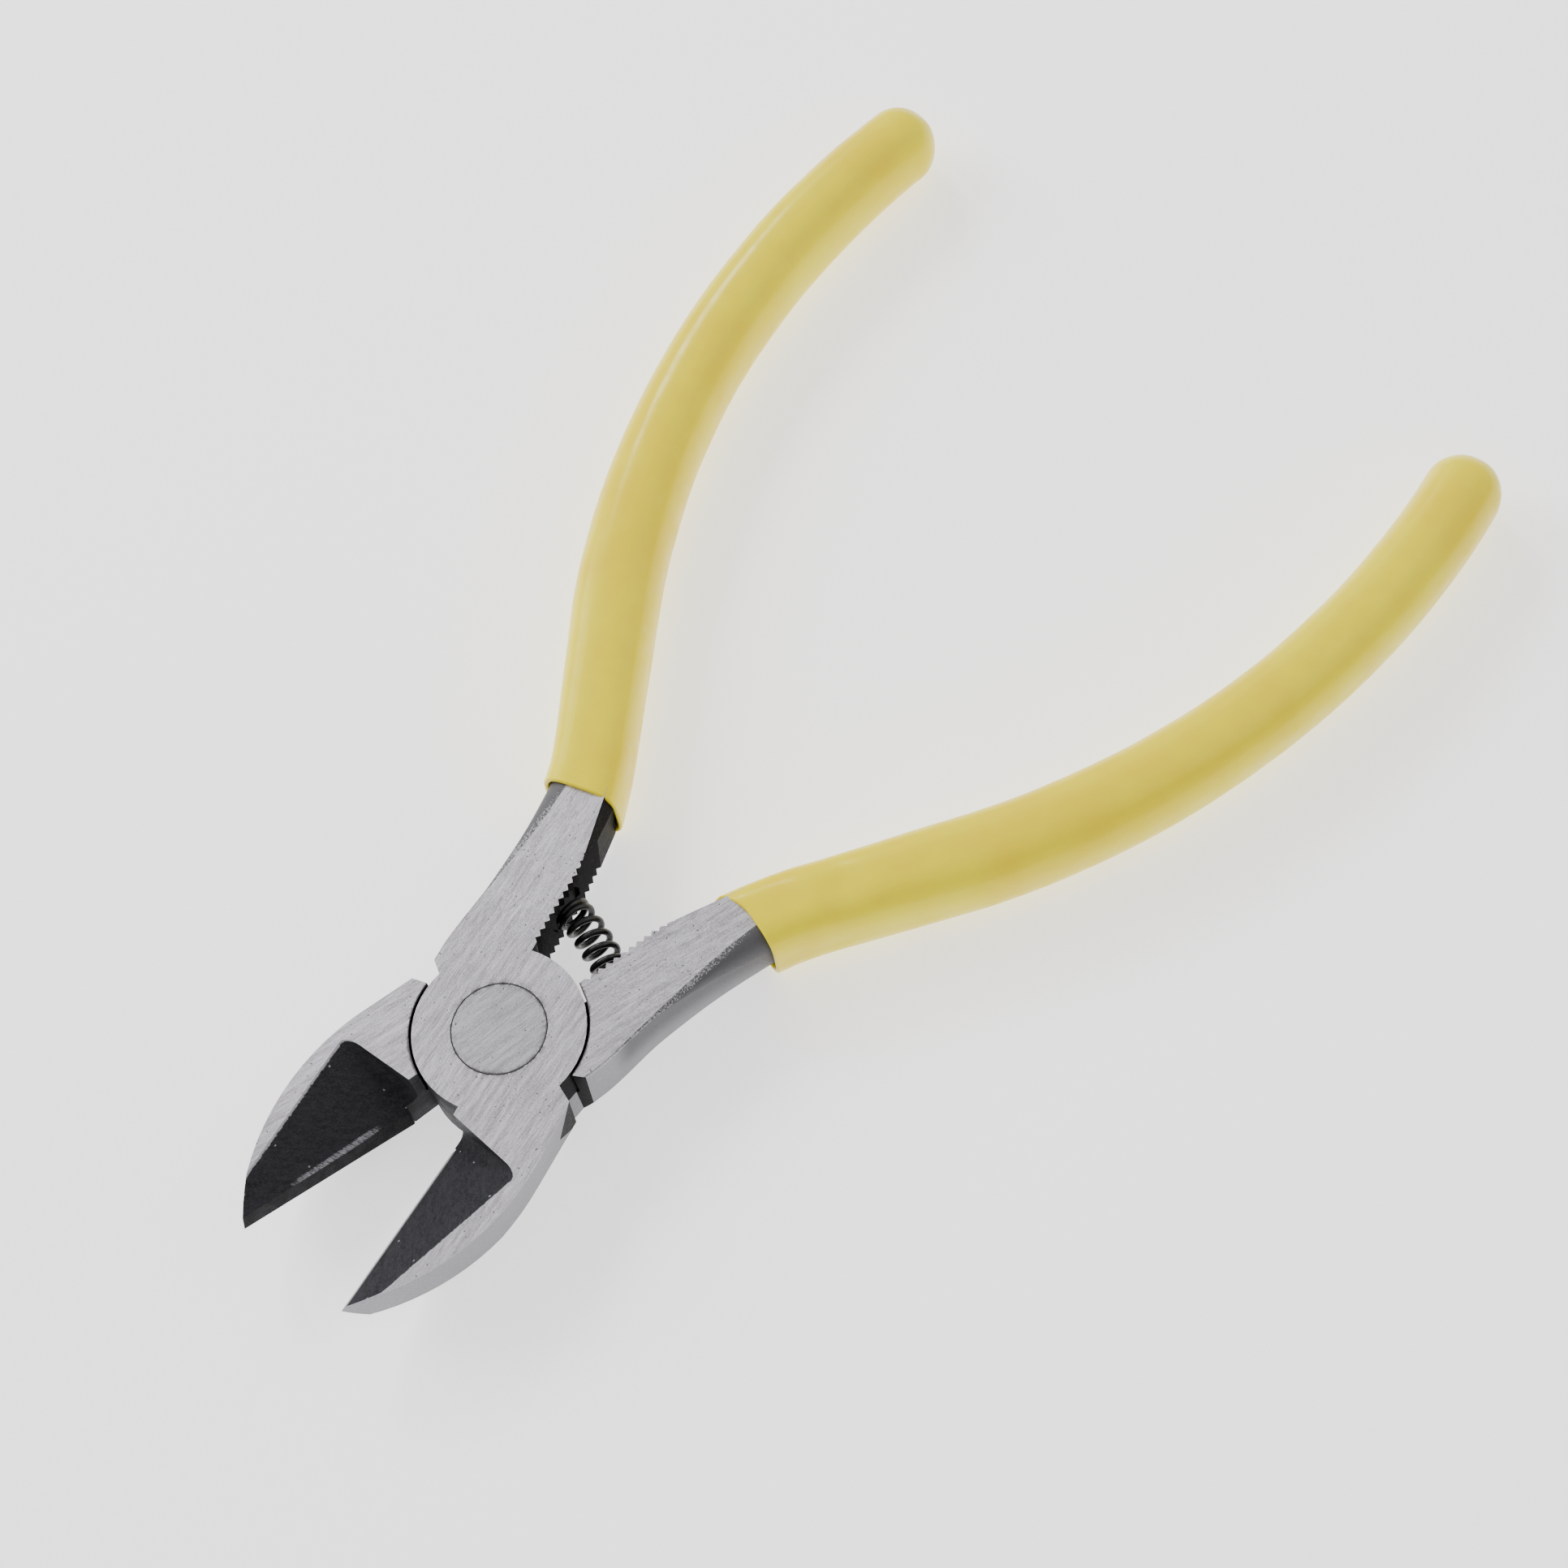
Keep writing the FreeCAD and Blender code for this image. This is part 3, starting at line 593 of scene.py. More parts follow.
@dataclass(frozen=True)
class ForgedSide(Finish):
    """The blasted sides of a lever: satin, with grain and specks of dirt, painted shade on the facet below
    the crease and a painted highlight along the crease.
    """

    side: Side = Side.UPPER
    pale: Triple = (0.34, 0.335, 0.36)
    dull: Triple = (0.21, 0.205, 0.22)
    dirt: Triple = (0.10, 0.095, 0.09)
    shade: Triple = (0.075, 0.073, 0.080)
    # Colour of the painted highlight along the crease.
    wear_and_highlight: Triple = (0.70, 0.69, 0.72)
    sparkle: float = 0.45

    def build(self) -> bpy.types.Material:
        """Builds the material.

        Returns:
            The material.
        """
        material, wiring, shader = self.begin(Metallic=0.35, Specular_IOR_Level=0.3)
        axes = self.axes(wiring, self.side)
        grain = wiring.noise(axes, 5.0, 4.0, 0.75)
        smudge = SMUDGES.place(wiring, Vector=axes, Scale=0.35).outputs["Mask"]
        dirt = SPECKS.place(wiring, Vector=axes, Scale=2.0, Share=0.25, Size=0.30).outputs["Mask"]
        colour = wiring.blend(wiring.band(grain, 0.3, 0.7), self.dull, self.pale)
        colour = wiring.blend(wiring.math("MULTIPLY", smudge, 0.25), colour, self.dull)
        colour = wiring.blend(wiring.math("MULTIPLY", dirt, 0.5), colour, self.dirt)
        # Painted shade on the facet under the tang's upper edge.
        colour = wiring.blend(self.painted_facet_shade_mask(wiring, axes, grain), colour, self.shade)
        # Painted highlight along the crease.
        colour = wiring.blend(self.crease_highlight_mask(wiring, axes), colour, self.wear_and_highlight)
        wiring.feed(shader.inputs["Base Color"], colour)
        wiring.feed(shader.inputs["Roughness"], wiring.band(grain, 0.3, 0.7, 0.5, 0.7))
        self.bump(wiring, shader, grain, 0.04, 0.6)
        return material

    def painted_facet_shade_mask(self, wiring: Wiring, axes: Socket, grain: Socket) -> Socket:
        """Painted shade on the facet under the upper edge of the tang, which fades out lower down and towards
        the hub.

        Args:
            wiring: The material's wiring.
            axes: The lever's axes in millimetres.
            grain: A fine noise that breaks the fade up.

        Returns:
            The painted shade's mask.
        """
        place = wiring.add("SeparateXYZ", {0: axes}).outputs
        rough_height = wiring.math("MULTIPLY_ADD", grain, 1.8, place["Z"])
        high = wiring.band(rough_height, 1.5, 6.5)
        on_tang = wiring.band(place["X"], -5.5, -8.0)
        return wiring.math("MULTIPLY", wiring.math("MULTIPLY", high, on_tang), 0.9)

    def crease_highlight_mask(self, wiring: Wiring, axes: Socket) -> Socket:
        """A painted highlight of bright broken grains just below the upper face, where the side starts.

        Args:
            wiring: The material's wiring.
            axes: The lever's axes in millimetres.

        Returns:
            The painted highlight's mask.
        """
        height = wiring.add("SeparateXYZ", {0: axes}).outputs["Z"]
        grains = wiring.noise(axes, 7.0, 2.0, 0.6)
        near = wiring.band(wiring.math("SUBTRACT", TOP_HEIGHT, height), 0.75, 0.35)
        broken = wiring.band(wiring.math("MULTIPLY", grains, near), 0.45, 0.6)
        return wiring.math("MULTIPLY", broken, self.sparkle)


@dataclass(frozen=True)
class OiledBlackAndShade(Finish):
    """Steel left black, with old oil on it, on the serrated wall of a tang; in the recesses of the joint the
    same black is painted shade together with oil.
    """

    side: Side = Side.UPPER
    black: Triple = (0.006, 0.006, 0.007)
    film: Triple = (0.018, 0.017, 0.018)
    rubbed: Triple = (0.10, 0.098, 0.10)

    def build(self) -> bpy.types.Material:
        """Builds the material.

        Returns:
            The material.
        """
        material, wiring, shader = self.begin(Metallic=0.0, Specular_IOR_Level=0.02)
        axes = self.axes(wiring, self.side)
        grain = wiring.noise(axes, 4.0, 4.0, 0.7)
        wear_and_highlight = wiring.band(wiring.noise(axes, 2.2, 4.0, 0.8), 0.58, 0.72, 0.0, 0.3)
        colour = wiring.blend(wiring.band(grain, 0.35, 0.7), self.black, self.film)
        wiring.feed(shader.inputs["Base Color"], wiring.blend(wear_and_highlight, colour, self.rubbed))
        wiring.feed(shader.inputs["Roughness"], wiring.band(grain, 0.3, 0.7, 0.4, 0.6))
        self.bump(wiring, shader, grain, 0.02, 0.4)
        return material


@dataclass(frozen=True)
class OiledWire(Finish):
    """Spring wire: black, drawn, with a film of oil."""

    black: Triple = (0.006, 0.006, 0.007)
    film: Triple = (0.020, 0.019, 0.019)

    def build(self) -> bpy.types.Material:
        """Builds the material.

        Returns:
            The material.
        """
        material, wiring, shader = self.begin(Metallic=0.0, Specular_IOR_Level=0.3, Coat_Roughness=0.2)
        axes = self.axes(wiring, Side.UPPER)
        film = wiring.noise(axes, 1.6, 3.0, 0.6)
        colour = wiring.blend(wiring.band(film, 0.35, 0.7), self.black, self.film)
        wiring.feed(shader.inputs["Base Color"], colour)
        wiring.feed(shader.inputs["Roughness"], wiring.band(film, 0.3, 0.7, 0.25, 0.4))
        wiring.feed(shader.inputs["Coat Weight"], wiring.band(film, 0.3, 0.6, 0.05, 0.25))
        return material


@dataclass(frozen=True)
class DippedVinyl(Finish):
    """Soft glossy vinyl: strong yellow, a little uneven in depth of colour, with faint scuffs."""

    side: Side = Side.UPPER
    light: Triple = (0.95, 0.81, 0.0003)
    deep: Triple = (0.90, 0.69, 0.0003)
    scuff: Triple = (0.42, 0.31, 0.05)

    def build(self) -> bpy.types.Material:
        """Builds the material.

        Returns:
            The material.
        """
        material, wiring, shader = self.begin(
            Metallic=0.0,
            Specular_IOR_Level=0.15,
            Specular_Tint=(1.0, 0.88, 0.30, 1.0),
            Coat_Tint=(1.0, 0.97, 0.80, 1.0),
            Coat_Roughness=0.17,
        )
        axes = self.axes(wiring, self.side)
        depth = SMUDGES.place(wiring, Vector=axes, Scale=0.09).outputs["Mask"]
        haze = SMUDGES.place(wiring, Vector=axes, Scale=0.6).outputs["Mask"]
        scuffs = SPECKS.place(wiring, Vector=axes, Scale=0.35, Share=0.12, Size=0.06).outputs["Mask"]
        colour = wiring.blend(depth, self.light, self.deep)
        colour = wiring.blend(wiring.math("MULTIPLY", scuffs, 0.35), colour, self.scuff)
        wiring.feed(shader.inputs["Base Color"], colour)
        wiring.feed(shader.inputs["Roughness"], wiring.band(haze, 0.0, 1.0, 0.30, 0.44))
        wiring.feed(shader.inputs["Coat Weight"], wiring.band(haze, 0.0, 1.0, 0.34, 0.20))
        slow = wiring.noise(axes, 0.35, 2.0, 0.5)
        ripple = wiring.math("ADD", slow, wiring.math("MULTIPLY", haze, 0.08))
        self.bump(wiring, shader, ripple, 0.12, 0.25)
        return material


@dataclass(frozen=True)
class StudioPaper(Finish):
    """The plain pale sweep that the tool lies on, with a little light of its own."""

    pale: Triple = (0.94, 0.94, 0.94)
    dull: Triple = (0.90, 0.90, 0.90)
    glow: float = 1.15

    def build(self) -> bpy.types.Material:
        """Builds the material.

        Returns:
            The material.
        """
        material, wiring, shader = self.begin(
            Metallic=0.0,
            Specular_IOR_Level=0.1,
            Emission_Color=(1.0, 1.0, 1.0, 1.0),
            Emission_Strength=self.glow,
        )
        place = wiring.add("TexCoord").outputs["Object"]
        fibre = wiring.noise(place, 900.0, 2.0, 0.5)
        wiring.feed(shader.inputs["Base Color"], wiring.blend(fibre, self.dull, self.pale))
        wiring.feed(shader.inputs["Roughness"], wiring.band(fibre, 0.2, 0.8, 0.75, 0.9))
        return material


# ---------------------------------------------------------------- levers


class LeverSurface(Enum):
    """The differently finished surfaces of a lever, in the order of its material slots."""

    GROUND = 0
    HOLLOW = 1
    BEVEL = 2
    FORGED = 3
    # Black steel on the tang's inner wall, and painted shade in the joint's recesses.
    BLACK = 4


@dataclass
class Lever:
    """One forged lever. Its shape is the frame's own node, dressed surface by surface."""

    side: Side
    node: bpy.types.Object
    grind_angle: float
    streak: float
    bevel_bright: float
    hollow_grind: float = -38.0
    hollow_climb: float = 12.1
    hollow_angle: float = 30.0
    edge_slope: float = 12.5
    bevel_angle: float = 63.6
    jaw_from: float = 6.5
    tang_from: float = -4.8
    joint_radius: float = 8.95
    level_from: float = 0.9985
    face_from: float = 3.2
    hollow_match: float = 0.995
    bevel_match: float = 0.99
    shoulder_to: float = 14.5
    heel_to: float = 11.0
    inner_wall_from: float = -5.4

    def finishes(self) -> list[bpy.types.Material]:
        """Builds the lever's finishes.

        Returns:
            The materials, in the order of LeverSurface.
        """
        word = self.side.name.lower()
        return [
            GroundSteel(f"{word}_ground_steel", self.side, self.grind_angle).build(),
            BlackenedSteel(f"{word}_blackened_steel", self.side, self.hollow_grind, self.streak).build(),
            HonedBevel(f"{word}_honed_bevel", self.side, self.bevel_bright).build(),
            ForgedSide(f"{word}_forged_side", self.side).build(),
            OiledBlackAndShade(f"{word}_oiled_black_and_shade", self.side).build(),
        ]

    def surface_of(self, centre: Vector, normal: Vector) -> LeverSurface:
        """Names the surface that a face belongs to.

        Args:
            centre: The face's centre in the lever's closed axes, in millimetres.
            normal: The face's normal in the same axes.

        Returns:
            The surface.
        """
        if abs(normal.z) > self.level_from:
            # Level faces between the upper and lower faces sit in the joint's recesses; their black is
            # painted shade.
            outside = abs(centre.z - MIDDLE_HEIGHT) > self.face_from
            return LeverSurface.GROUND if outside else LeverSurface.BLACK
        if centre.x > self.jaw_from:
            return self.jaw_surface(centre, normal)
        if centre.x < self.tang_from:
            return self.tang_surface(centre)
        # Faces of the joint's recesses get the black finish, which there is painted shade.
        in_joint = math.hypot(centre.x, centre.y) < self.joint_radius
        faces_joint = centre.y > 0 or centre.x * normal.x < 0
        return LeverSurface.BLACK if in_joint and faces_joint else LeverSurface.FORGED

    def jaw_surface(self, centre: Vector, normal: Vector) -> LeverSurface:
        """Names the surface of a face on the jaw, from which way it faces.

        Args:
            centre: The face's centre in the lever's closed axes, in millimetres.
            normal: The face's normal in the same axes.

        Returns:
            The surface.
        """
        climb, cross = (math.tan(math.radians(a)) for a in (self.hollow_climb, self.hollow_angle))
        rise, lean = (math.tan(math.radians(a)) for a in (self.edge_slope, self.bevel_angle))
        if normal.dot(Vector((-climb, -cross, 1.0)).normalized()) > self.hollow_match:
            return LeverSurface.HOLLOW
        if normal.dot(Vector((-rise, -lean, 1.0)).normalized()) > self.bevel_match:
            return LeverSurface.BEVEL
        faces_hollow = normal.y < 0.5 and normal.x > 0.1 and centre.x < self.shoulder_to
        faces_edge = normal.y < 0.3 and centre.x < self.heel_to
        if (faces_hollow or faces_edge) and normal.z > -0.05:
            return LeverSurface.HOLLOW
        if normal.y < -0.3 and centre.z < TOP_HEIGHT:
            return LeverSurface.BEVEL
        return LeverSurface.FORGED

    def tang_surface(self, centre: Vector) -> LeverSurface:
        """Names the surface of a face on the tang: black on the inner wall, forged on the outer one."""
        return LeverSurface.BLACK if centre.y > self.inner_wall_from else LeverSurface.FORGED

    def dress(self) -> None:
        """Gives every face of the node its surface's finish."""
        mesh = self.node.data
        mesh.materials.clear()
        for material in self.finishes():
            mesh.materials.append(material)
        for polygon in mesh.polygons:
            centre = self.side.from_row(polygon.center) / MM
            normal = self.side.from_row(polygon.normal)
            polygon.material_index = self.surface_of(centre, normal).value
        LOG.info("%s: %d faces dressed", self.node.name, len(mesh.polygons))


@dataclass
class Rivet:
    """The flush rivet: the frame's own node, ground together with the upper face."""

    node: bpy.types.Object
    grind_angle: float = 24.0
    pale: Triple = (0.55, 0.54, 0.575)
    dull: Triple = (0.38, 0.37, 0.39)

    def dress(self) -> None:
        """Gives the rivet its ground finish."""
        finish = GroundSteel("rivet_ground_steel", Side.UPPER, self.grind_angle, self.pale, self.dull)
        self.node.data.materials.clear()
        self.node.data.materials.append(finish.build())
        LOG.info("%s: dressed", self.node.name)


# ---------------------------------------------------------------- mesh building


def mesh_object(
    name: str, points: list[Vector], faces: list[tuple[int, ...]], finish: bpy.types.Material
) -> bpy.types.Object:
    """Makes a smooth-shaded mesh object in the scene.

    Args:
        name: The piece's name.
        points: Its vertices in the row frame, in metres.
        faces: Its faces, as tuples of vertex numbers.
        finish: Its material.

    Returns:
        The new object.
    """
    mesh = bpy.data.meshes.new(name)
    mesh.from_pydata([tuple(point) for point in points], [], faces)
    mesh.validate()
    mesh.shade_smooth()
    mesh.materials.append(finish)
    piece = bpy.data.objects.new(name, mesh)
    bpy.context.scene.collection.objects.link(piece)
    return piece


def ring_faces(rings: int, around: int, flip: bool) -> list[tuple[int, ...]]:
    """Quads between neighbouring rings of vertices.

    Args:
        rings: How many rings there are.
        around: How many vertices each ring has.
        flip: Whether to reverse the faces, for a mirrored piece.

    Returns:
        The faces.
    """
    faces = []
    for ring in range(rings - 1):
        for step in range(around):
            following = (step + 1) % around
            low, high = ring * around, (ring + 1) * around
            face = (low + step, low + following, high + following, high + step)
            faces.append(face[::-1] if flip else face)
    return faces


# ---------------------------------------------------------------- grips


@dataclass(frozen=True)
class HandleLine:
    """Centre line of a handle in a lever's closed axes: a bow, a straight run and a bend into the tang."""

    bow_radius: float = 80.0
    bow_reach: float = 70.0
    bow_width: float = 17.7
    straight_from: float = 40.0
    straight_to: float = 28.5
    tang_radius: float = 42.0

    def at(self, reach: float) -> tuple[float, float]:
        """The line at a distance from the rivet along -X.

        Args:
            reach: The distance in millimetres.

        Returns:
            The line's Y and its slope, in Y for each millimetre of reach.
        """
        if reach >= self.straight_from:
            offset = reach - self.bow_reach
            height = math.sqrt(self.bow_radius**2 - offset**2)
            return -(self.bow_width - self.bow_radius + height), offset / height
        y_from, slope = self.at(self.straight_from)
        if reach >= self.straight_to:
            return y_from - slope * (self.straight_from - reach), slope
        y_to = y_from - slope * (self.straight_from - self.straight_to)
        angle = math.atan(-slope)
        sine = max(math.sin(angle) - (self.straight_to - reach) / self.tang_radius, 0.05)
        turned = math.asin(sine)
        return y_to + self.tang_radius * (math.cos(turned) - math.cos(angle)), -math.tan(turned)

    def place(self, reach: float, across: float, height: float) -> Vector:
        """A point beside the line.

        Args:
            reach: The distance from the rivet along -X.
            across: How far the point stands to the inner side, square to the line.
            height: Its height above the middle plane.

        Returns:
            The point in the lever's closed axes.
        """
        y, slope = self.at(reach)
        ahead = Vector((-1.0, slope, 0.0)).normalized()
        inward = ahead.cross(Z_AXIS)
        return Vector((-reach, y, MIDDLE_HEIGHT)) + inward * across + Z_AXIS * height


@dataclass(frozen=True)
class Dent:
    """A shallow dent or swelling of a sleeve: where it is, how wide it is and how far it stands out."""

    reach: float
    turn: float
    length: float
    width: float
    rise: float

    def height(self, reach: float, turn: float) -> float:
        """How far the surface moves out at a place.

        Args:
            reach: The place's distance from the rivet along the handle.
            turn: Its angle round the handle, from the inner side.

        Returns:
            The rise in millimetres, negative in a dent.
        """
        away = (reach - self.reach) / self.length
        round_by = math.remainder(turn - self.turn, 2 * math.pi) / self.width
        return self.rise * math.exp(-(away * away + round_by * round_by))


@dataclass
class Grip:
    """A dipped sleeve: rolled mouth, long soft body with an uneven skin, and a round end."""

    side: Side
    body: Body
    node_name: str
    dents: tuple[Dent, ...] = ()
    line: HandleLine = field(default_factory=HandleLine)
    mouth: float = 22.65
    mouth_skew: float = -0.15
    inner_lip: float = 0.0
    end: float = 98.6
    end_cap: float = 3.6
    wall: float = 0.60
    lip: float = 0.26
    settle_length: float = 5.0
    around: int = 72
    stations: tuple[tuple[float, float, float, float], ...] = (
        (19.0, 3.60, 3.92, 3.6),
        (22.0, 3.60, 3.96, 3.6),
        (25.0, 3.55, 3.97, 3.3),
        (29.0, 3.60, 3.98, 3.0),
        (34.0, 3.75, 3.99, 2.8),
        (41.0, 3.92, 3.99, 2.6),
        (50.0, 3.88, 3.99, 2.5),
        (60.0, 3.72, 3.99, 2.5),
        (70.0, 3.63, 3.99, 2.5),
        (80.0, 3.60, 3.99, 2.5),
        (89.0, 3.62, 3.99, 2.4),
        (98.6, 3.60, 3.94, 2.2),
    )

    def size_at(self, reach: float) -> tuple[float, float, float]:
        """The sleeve's section at a distance, in proportion between its stations.

        Args:
            reach: The distance from the rivet along -X.

        Returns:
            Half width, half height and squareness.
        """
        reach = min(max(reach, self.stations[0][0]), self.stations[-1][0])
        for first, second in zip(self.stations, self.stations[1:]):
            if reach <= second[0]:
                share = (reach - first[0]) / (second[0] - first[0])
                return tuple(a + (b - a) * share for a, b in zip(first[1:], second[1:]))
        return self.stations[-1][1:]

    def profile(self) -> list[tuple[float, float, float]]:
        """The sleeve's run from its inner wall, round the mouth and along the outside to the end.

        Returns:
            For each ring its reach, how far it stands inside the outer surface, and its share of full size.
        """
        inner_wall = ((4.0, 0.2), (1.5, 0.1), (0.5, 0.0))
        rings = [(self.mouth + depth, self.wall + taper, 1.0) for depth, taper in inner_wall]
        for degrees in range(-80, 91, 17):
            turn = math.radians(degrees)
            inset = self.lip - self.lip * math.sin(turn) + 0.01
            rings.append((self.mouth + self.lip * (1 - math.cos(turn)), inset, 1.0))
        fine_step, step, fine_to, gap = 0.45, 0.9, 32.0, 0.3
        reach = self.mouth + self.lip + 0.25
        while reach < self.end - gap:
            rings.append((reach, 0.0, 1.0))
            reach += fine_step if reach < fine_to else step
        for degrees in range(0, 90, 6):
            turn = math.radians(degrees)
            rings.append((self.end + self.end_cap * math.sin(turn), 0.0, math.cos(turn)))
        return rings

    def skin(self, reach: float, turn: float, point: Vector) -> float:
        """Unevenness of the outside: slow and fast ripples round a slightly lower level, and the dents.

        Args:
            reach: The point's distance from the rivet along the handle.
            turn: Its angle round the handle, from the inner side.
            point: The point itself, in the lever's closed axes.

        Returns:
            How far the skin stands out, in millimetres.
        """
        level, elsewhere = -0.03, Vector((7.0, 3.0, 1.0))
        slow = noise.noise(point * 0.16) * 0.05
        fast = noise.noise(point * 0.7 + elsewhere) * 0.012
        return slow + fast + level + sum(dent.height(reach, turn) for dent in self.dents)

    def ring(self, reach: float, inset: float, share: float) -> list[Vector]:
        """One ring of vertices, with a slant near the mouth that settles farther along.

        Args:
            reach: The ring's distance from the rivet; past the end it lies on the round cap.
            inset: How far it stands inside the outer surface.
            share: Its share of full size.

        Returns:
            The vertices in the lever's closed axes.
        """
        half_width, half_height, squareness = self.size_at(reach)
        settle = math.exp(-max(reach - self.mouth, 0.0) / self.settle_length)
        end_slope = self.line.at(self.end)[1]
        ring = []
        for step in range(self.around):
            turn = 2 * math.pi * step / self.around
            u, v = math.cos(turn), math.sin(turn)
            powers = abs(u / half_width) ** squareness + abs(v / half_height) ** squareness
            radius = (powers ** (-1 / squareness) - inset) * share
            if reach <= self.end:
                slant = self.mouth_skew * u * radius - self.inner_lip * max(u, 0.0) ** 2
                here = reach + slant * settle
                point = self.line.place(here, u * radius, v * radius)
            else:
                beyond = (reach - self.end) * Vector((-1.0, end_slope, 0.0)).normalized()
                point = self.line.place(self.end, u * radius, v * radius) + beyond
            if inset < 0.02 and share > 0.2:
                rise = self.skin(reach, turn, point) * min(share * 2, 1.0)
                middle = self.line.place(min(reach, self.end), 0.0, 0.0)
                outward = point - middle
                outward.x *= 0.3
                point = point + outward.normalized() * rise
            ring.append(point)
        return ring

    def build(self) -> bpy.types.Object:
        """Builds the sleeve and puts it on its body in place of the frame's plain grip.

        Returns:
            The sleeve.
        """
        rings = [self.ring(*spec) for spec in self.profile()]
        points = [point for ring in rings for point in ring]
        faces = ring_faces(len(rings), self.around, flip=self.side is Side.LOWER)
        first = (len(rings) - 1) * self.around
        ahead = Vector((-1.0, self.line.at(self.end)[1], 0.0)).normalized()
        points.append(self.line.place(self.end, 0.0, 0.0) + ahead * self.end_cap)
        for step in range(self.around):
            face = (first + step, first + (step + 1) % self.around, len(points) - 1)
            faces.append(face[::-1] if self.side is Side.LOWER else face)
        finish = DippedVinyl(f"{self.node_name}_vinyl", self.side).build()
        placed = [self.side.to_row(point) for point in points]
        piece = mesh_object(f"{self.node_name}_sleeve", placed, faces, finish)
        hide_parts(self.node_name)
        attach(piece, self.body.value)
        LOG.info("%s: %d vertices", piece.name, len(points))
        return piece


# ---------------------------------------------------------------- spring


@dataclass
class ReturnSpring:
    """The coil spring between the tangs, wound round a curved centre line from one pocket to the other."""

    coil_radius: float = 1.4
    wire_radius: float = 0.3
    turns: float = 7.5
    lean: float = 18.0
    tang_wall: float = 1.05
    pocket_depth: float = 1.0
    play: float = 0.12
    reach_upper: float = 13.3
    reach_lower: float = 11.0
    steps_per_turn: int = 28
    around: int = 12

    def seat(self, side: Side) -> tuple[Vector, Vector]:
        """Where the spring's centre line starts on a pocket's floor, and which way it leaves.

        Args:
            side: The lever whose pocket it is.

        Returns:
            The place in row millimetres, and the direction.
        """
        lean = -math.radians(self.lean) if side is Side.UPPER else 0.0
        reach = self.reach_upper if side is Side.UPPER else self.reach_lower
        stand_off = self.play + self.wire_radius + self.coil_radius * abs(math.sin(lean))
        floor = stand_off - self.tang_wall - self.pocket_depth
        place = side.to_row(Vector((-reach, floor, MIDDLE_HEIGHT))) / MM
        turn = Matrix.Rotation(HALF_OPENING * side.value, 3, "Z")
        return place, turn @ Vector((-math.sin(lean), side.value * math.cos(lean), 0.0))

    def axis(self) -> tuple[Vector, Vector, Vector, Vector]:
        """The spring's centre line, from the upper lever to the lower one.

        Returns:
            The four control points of its curve, in row millimetres.
        """
        start, leaves = self.seat(Side.UPPER)
        finish, arrives = self.seat(Side.LOWER)
        third = (finish - start).length / 3
        return start, start + leaves * third, finish + arrives * third, finish

    def share_along(self, turned: float) -> float:
        """How far along its centre line the wire is: the end coils lie closer together.

        Args:
            turned: The turns made so far.

        Returns:
            The share of the line, from 0 to 1.
        """
        closed_turns, closed_share = 1.25, 0.075
        if turned < closed_turns:
            return closed_share * turned / closed_turns
        if turned > self.turns - closed_turns:
            return 1 - closed_share * (self.turns - turned) / closed_turns
        open_share = (turned - closed_turns) / (self.turns - 2 * closed_turns)
        return closed_share + (1 - 2 * closed_share) * open_share

    def wire_line(self) -> list[Vector]:
        """The centre of the wire, wound round the spring's centre line.

        Returns:
            Its points in row millimetres.
        """
        a, b, c, d = self.axis()
        line = []
        steps = int(self.turns * self.steps_per_turn)
        for step in range(steps + 1):
            turned = self.turns * step / steps
            t = self.share_along(turned)
            centre = a * (1 - t) ** 3 + b * (3 * t * (1 - t) ** 2) + c * (3 * t * t * (1 - t)) + d * t**3
            tangent = (b - a) * (1 - t) ** 2 + (c - b) * (2 * t * (1 - t)) + (d - c) * t * t
            across = tangent.cross(Z_AXIS).normalized()
            angle = 2 * math.pi * turned
            line.append(centre + (across * math.cos(angle) + Z_AXIS * math.sin(angle)) * self.coil_radius)
        return line

    def build(self) -> bpy.types.Object:
        """Builds the spring between the two halves of the tool.

        Returns:
            The spring.
        """
        line = self.wire_line()
        points = []
        for number, centre in enumerate(line):
            ahead = (line[min(number + 1, len(line) - 1)] - line[max(number - 1, 0)]).normalized()
            side = ahead.cross(self.axis()[3] - self.axis()[0]).normalized()
            up = side.cross(ahead)
            for step in range(self.around):
                angle = 2 * math.pi * step / self.around
                outward = side * math.cos(angle) + up * math.sin(angle)
                points.append((centre + outward * self.wire_radius) * MM)
        faces = ring_faces(len(line), self.around, flip=False)
        last = len(points) - self.around
        faces.append(tuple(range(self.around))[::-1])
        faces.append(tuple(range(last, last + self.around)))
        piece = mesh_object("return_spring_coil", points, faces, OiledWire("oiled_wire").build())
        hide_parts("return_spring")
        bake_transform(piece)
        LOG.info("%s: %.1f turns", piece.name, self.turns)
        return piece


# ---------------------------------------------------------------- studio


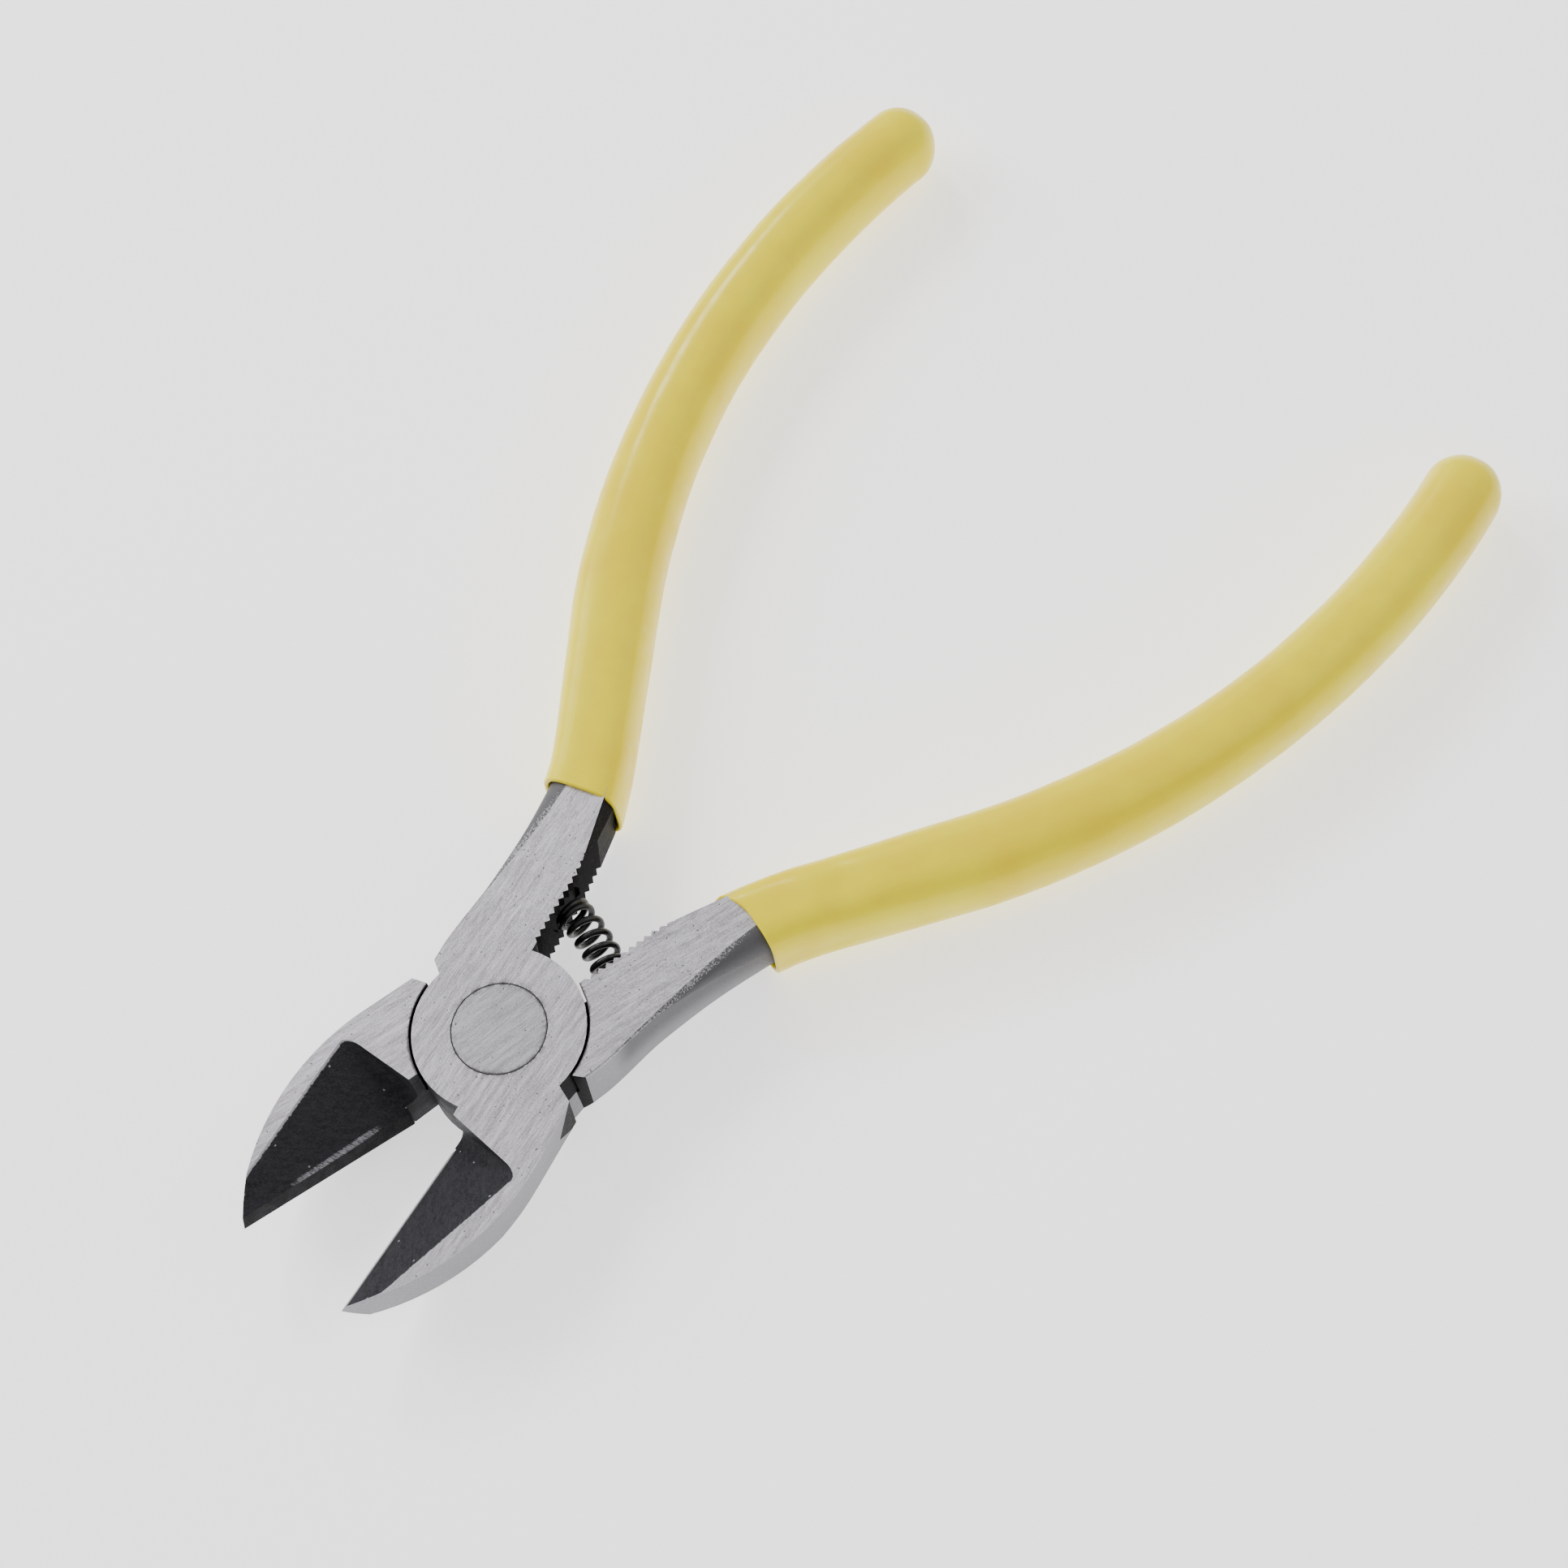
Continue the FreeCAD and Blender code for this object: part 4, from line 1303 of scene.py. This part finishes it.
@dataclass
class Studio:
    """Camera, soft light and the pale sweep."""

    camera_place: Triple = (0.042904, 0.097769, 0.243009)
    camera_turn: Triple = (26.4648, 5.6306, 130.0117)
    lens: float = 69.85
    sensor: float = 36.0
    surround: float = 0.58
    lamps: tuple[tuple[str, Triple, float, float], ...] = (
        ("key", (0.25, -0.95, 0.62), 0.7, 11.0),
        ("fill", (-0.60, 0.45, 0.70), 1.0, 3.0),
        ("glint", (-0.39, -0.825, 0.65), 0.24, 4.5),
    )
    lamp_aim: Triple = (-0.03, 0.0, 0.0)
    floor_size: float = 6.0
    floor_gap: float = 0.00005

    def build_camera(self) -> None:
        """Places the camera and makes it the scene's own."""
        data = bpy.data.cameras.new("camera")
        data.lens = self.lens
        data.sensor_width = self.sensor
        data.clip_start = 0.01
        camera = bpy.data.objects.new("camera", data)
        camera.location = self.camera_place
        camera.rotation_euler = Euler([math.radians(a) for a in self.camera_turn])
        bpy.context.scene.collection.objects.link(camera)
        bpy.context.scene.camera = camera

    def build_light(self) -> None:
        """Sets an even pale surround, two large soft lamps and a small one for the gloss."""
        world = bpy.data.worlds.new("surround")
        world.use_nodes = True
        background = world.node_tree.nodes["Background"]
        background.inputs["Color"].default_value = (1.0, 1.0, 1.0, 1.0)
        background.inputs["Strength"].default_value = self.surround
        bpy.context.scene.world = world
        for lamp in self.lamps:
            self.add_lamp(*lamp)

    def add_lamp(self, name: str, place: Triple, size: float, watts: float) -> None:
        """Adds a square lamp that faces the tool.

        Args:
            name: The lamp's name.
            place: Where it hangs, in metres.
            size: The length of its side in metres.
            watts: Its power.
        """
        data = bpy.data.lights.new(name, "AREA")
        data.size = size
        data.energy = watts
        lamp = bpy.data.objects.new(name, data)
        lamp.location = place
        aim = Vector(self.lamp_aim) - Vector(place)
        lamp.rotation_euler = aim.to_track_quat("-Z", "Y").to_euler()
        bpy.context.scene.collection.objects.link(lamp)

    def build_floor(self) -> None:
        """Lays the sweep just under the tool."""
        half = self.floor_size / 2
        outline = ((-half, -half), (half, -half), (half, half), (-half, half))
        corners = [Vector((x, y, -self.floor_gap)) for x, y in outline]
        floor = mesh_object("studio_sweep", corners, [(0, 1, 2, 3)], StudioPaper("studio_paper").build())
        floor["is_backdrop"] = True
        LOG.info("studio ready")


def plain(box: object) -> list:
    """The corners of a box as plain lists of numbers."""
    return [[float(value) for value in corner] for corner in box]


def main() -> tuple[list, list]:
    """Builds the studio and dresses the tool.

    Returns:
        The frame's own box, and the box of the dressed tool.
    """
    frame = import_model()
    cad_box = plain(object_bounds())
    studio = Studio()
    studio.build_camera()
    nodes = frame["nodes"]
    Lever(Side.UPPER, nodes["upper_lever"], grind_angle=4.0, streak=0.0, bevel_bright=0.26).dress()
    Lever(Side.LOWER, nodes["lower_lever"], grind_angle=-4.0, streak=1.0, bevel_bright=0.05).dress()
    Rivet(nodes["pivot_rivet"]).dress()
    Grip(Side.UPPER, Body.UPPER, "upper_grip").build()
    wrinkles = (
        Dent(27.6, 1.9, 1.6, 0.7, 0.24),
        Dent(30.4, 1.7, 1.3, 0.6, -0.22),
        Dent(33.0, 1.9, 1.5, 0.6, 0.14),
    )
    Grip(Side.LOWER, Body.LOWER, "lower_grip", wrinkles, inner_lip=1.8, end=97.8).build()
    ReturnSpring().build()
    studio.build_light()
    studio.build_floor()
    return cad_box, plain(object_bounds())


if __name__ == "__main__":
    logging.basicConfig(level=logging.INFO, format="%(name)s: %(message)s")
    cad, visual = main()
    LOG.info("sizes: cad %s, visual %s", cad, visual)
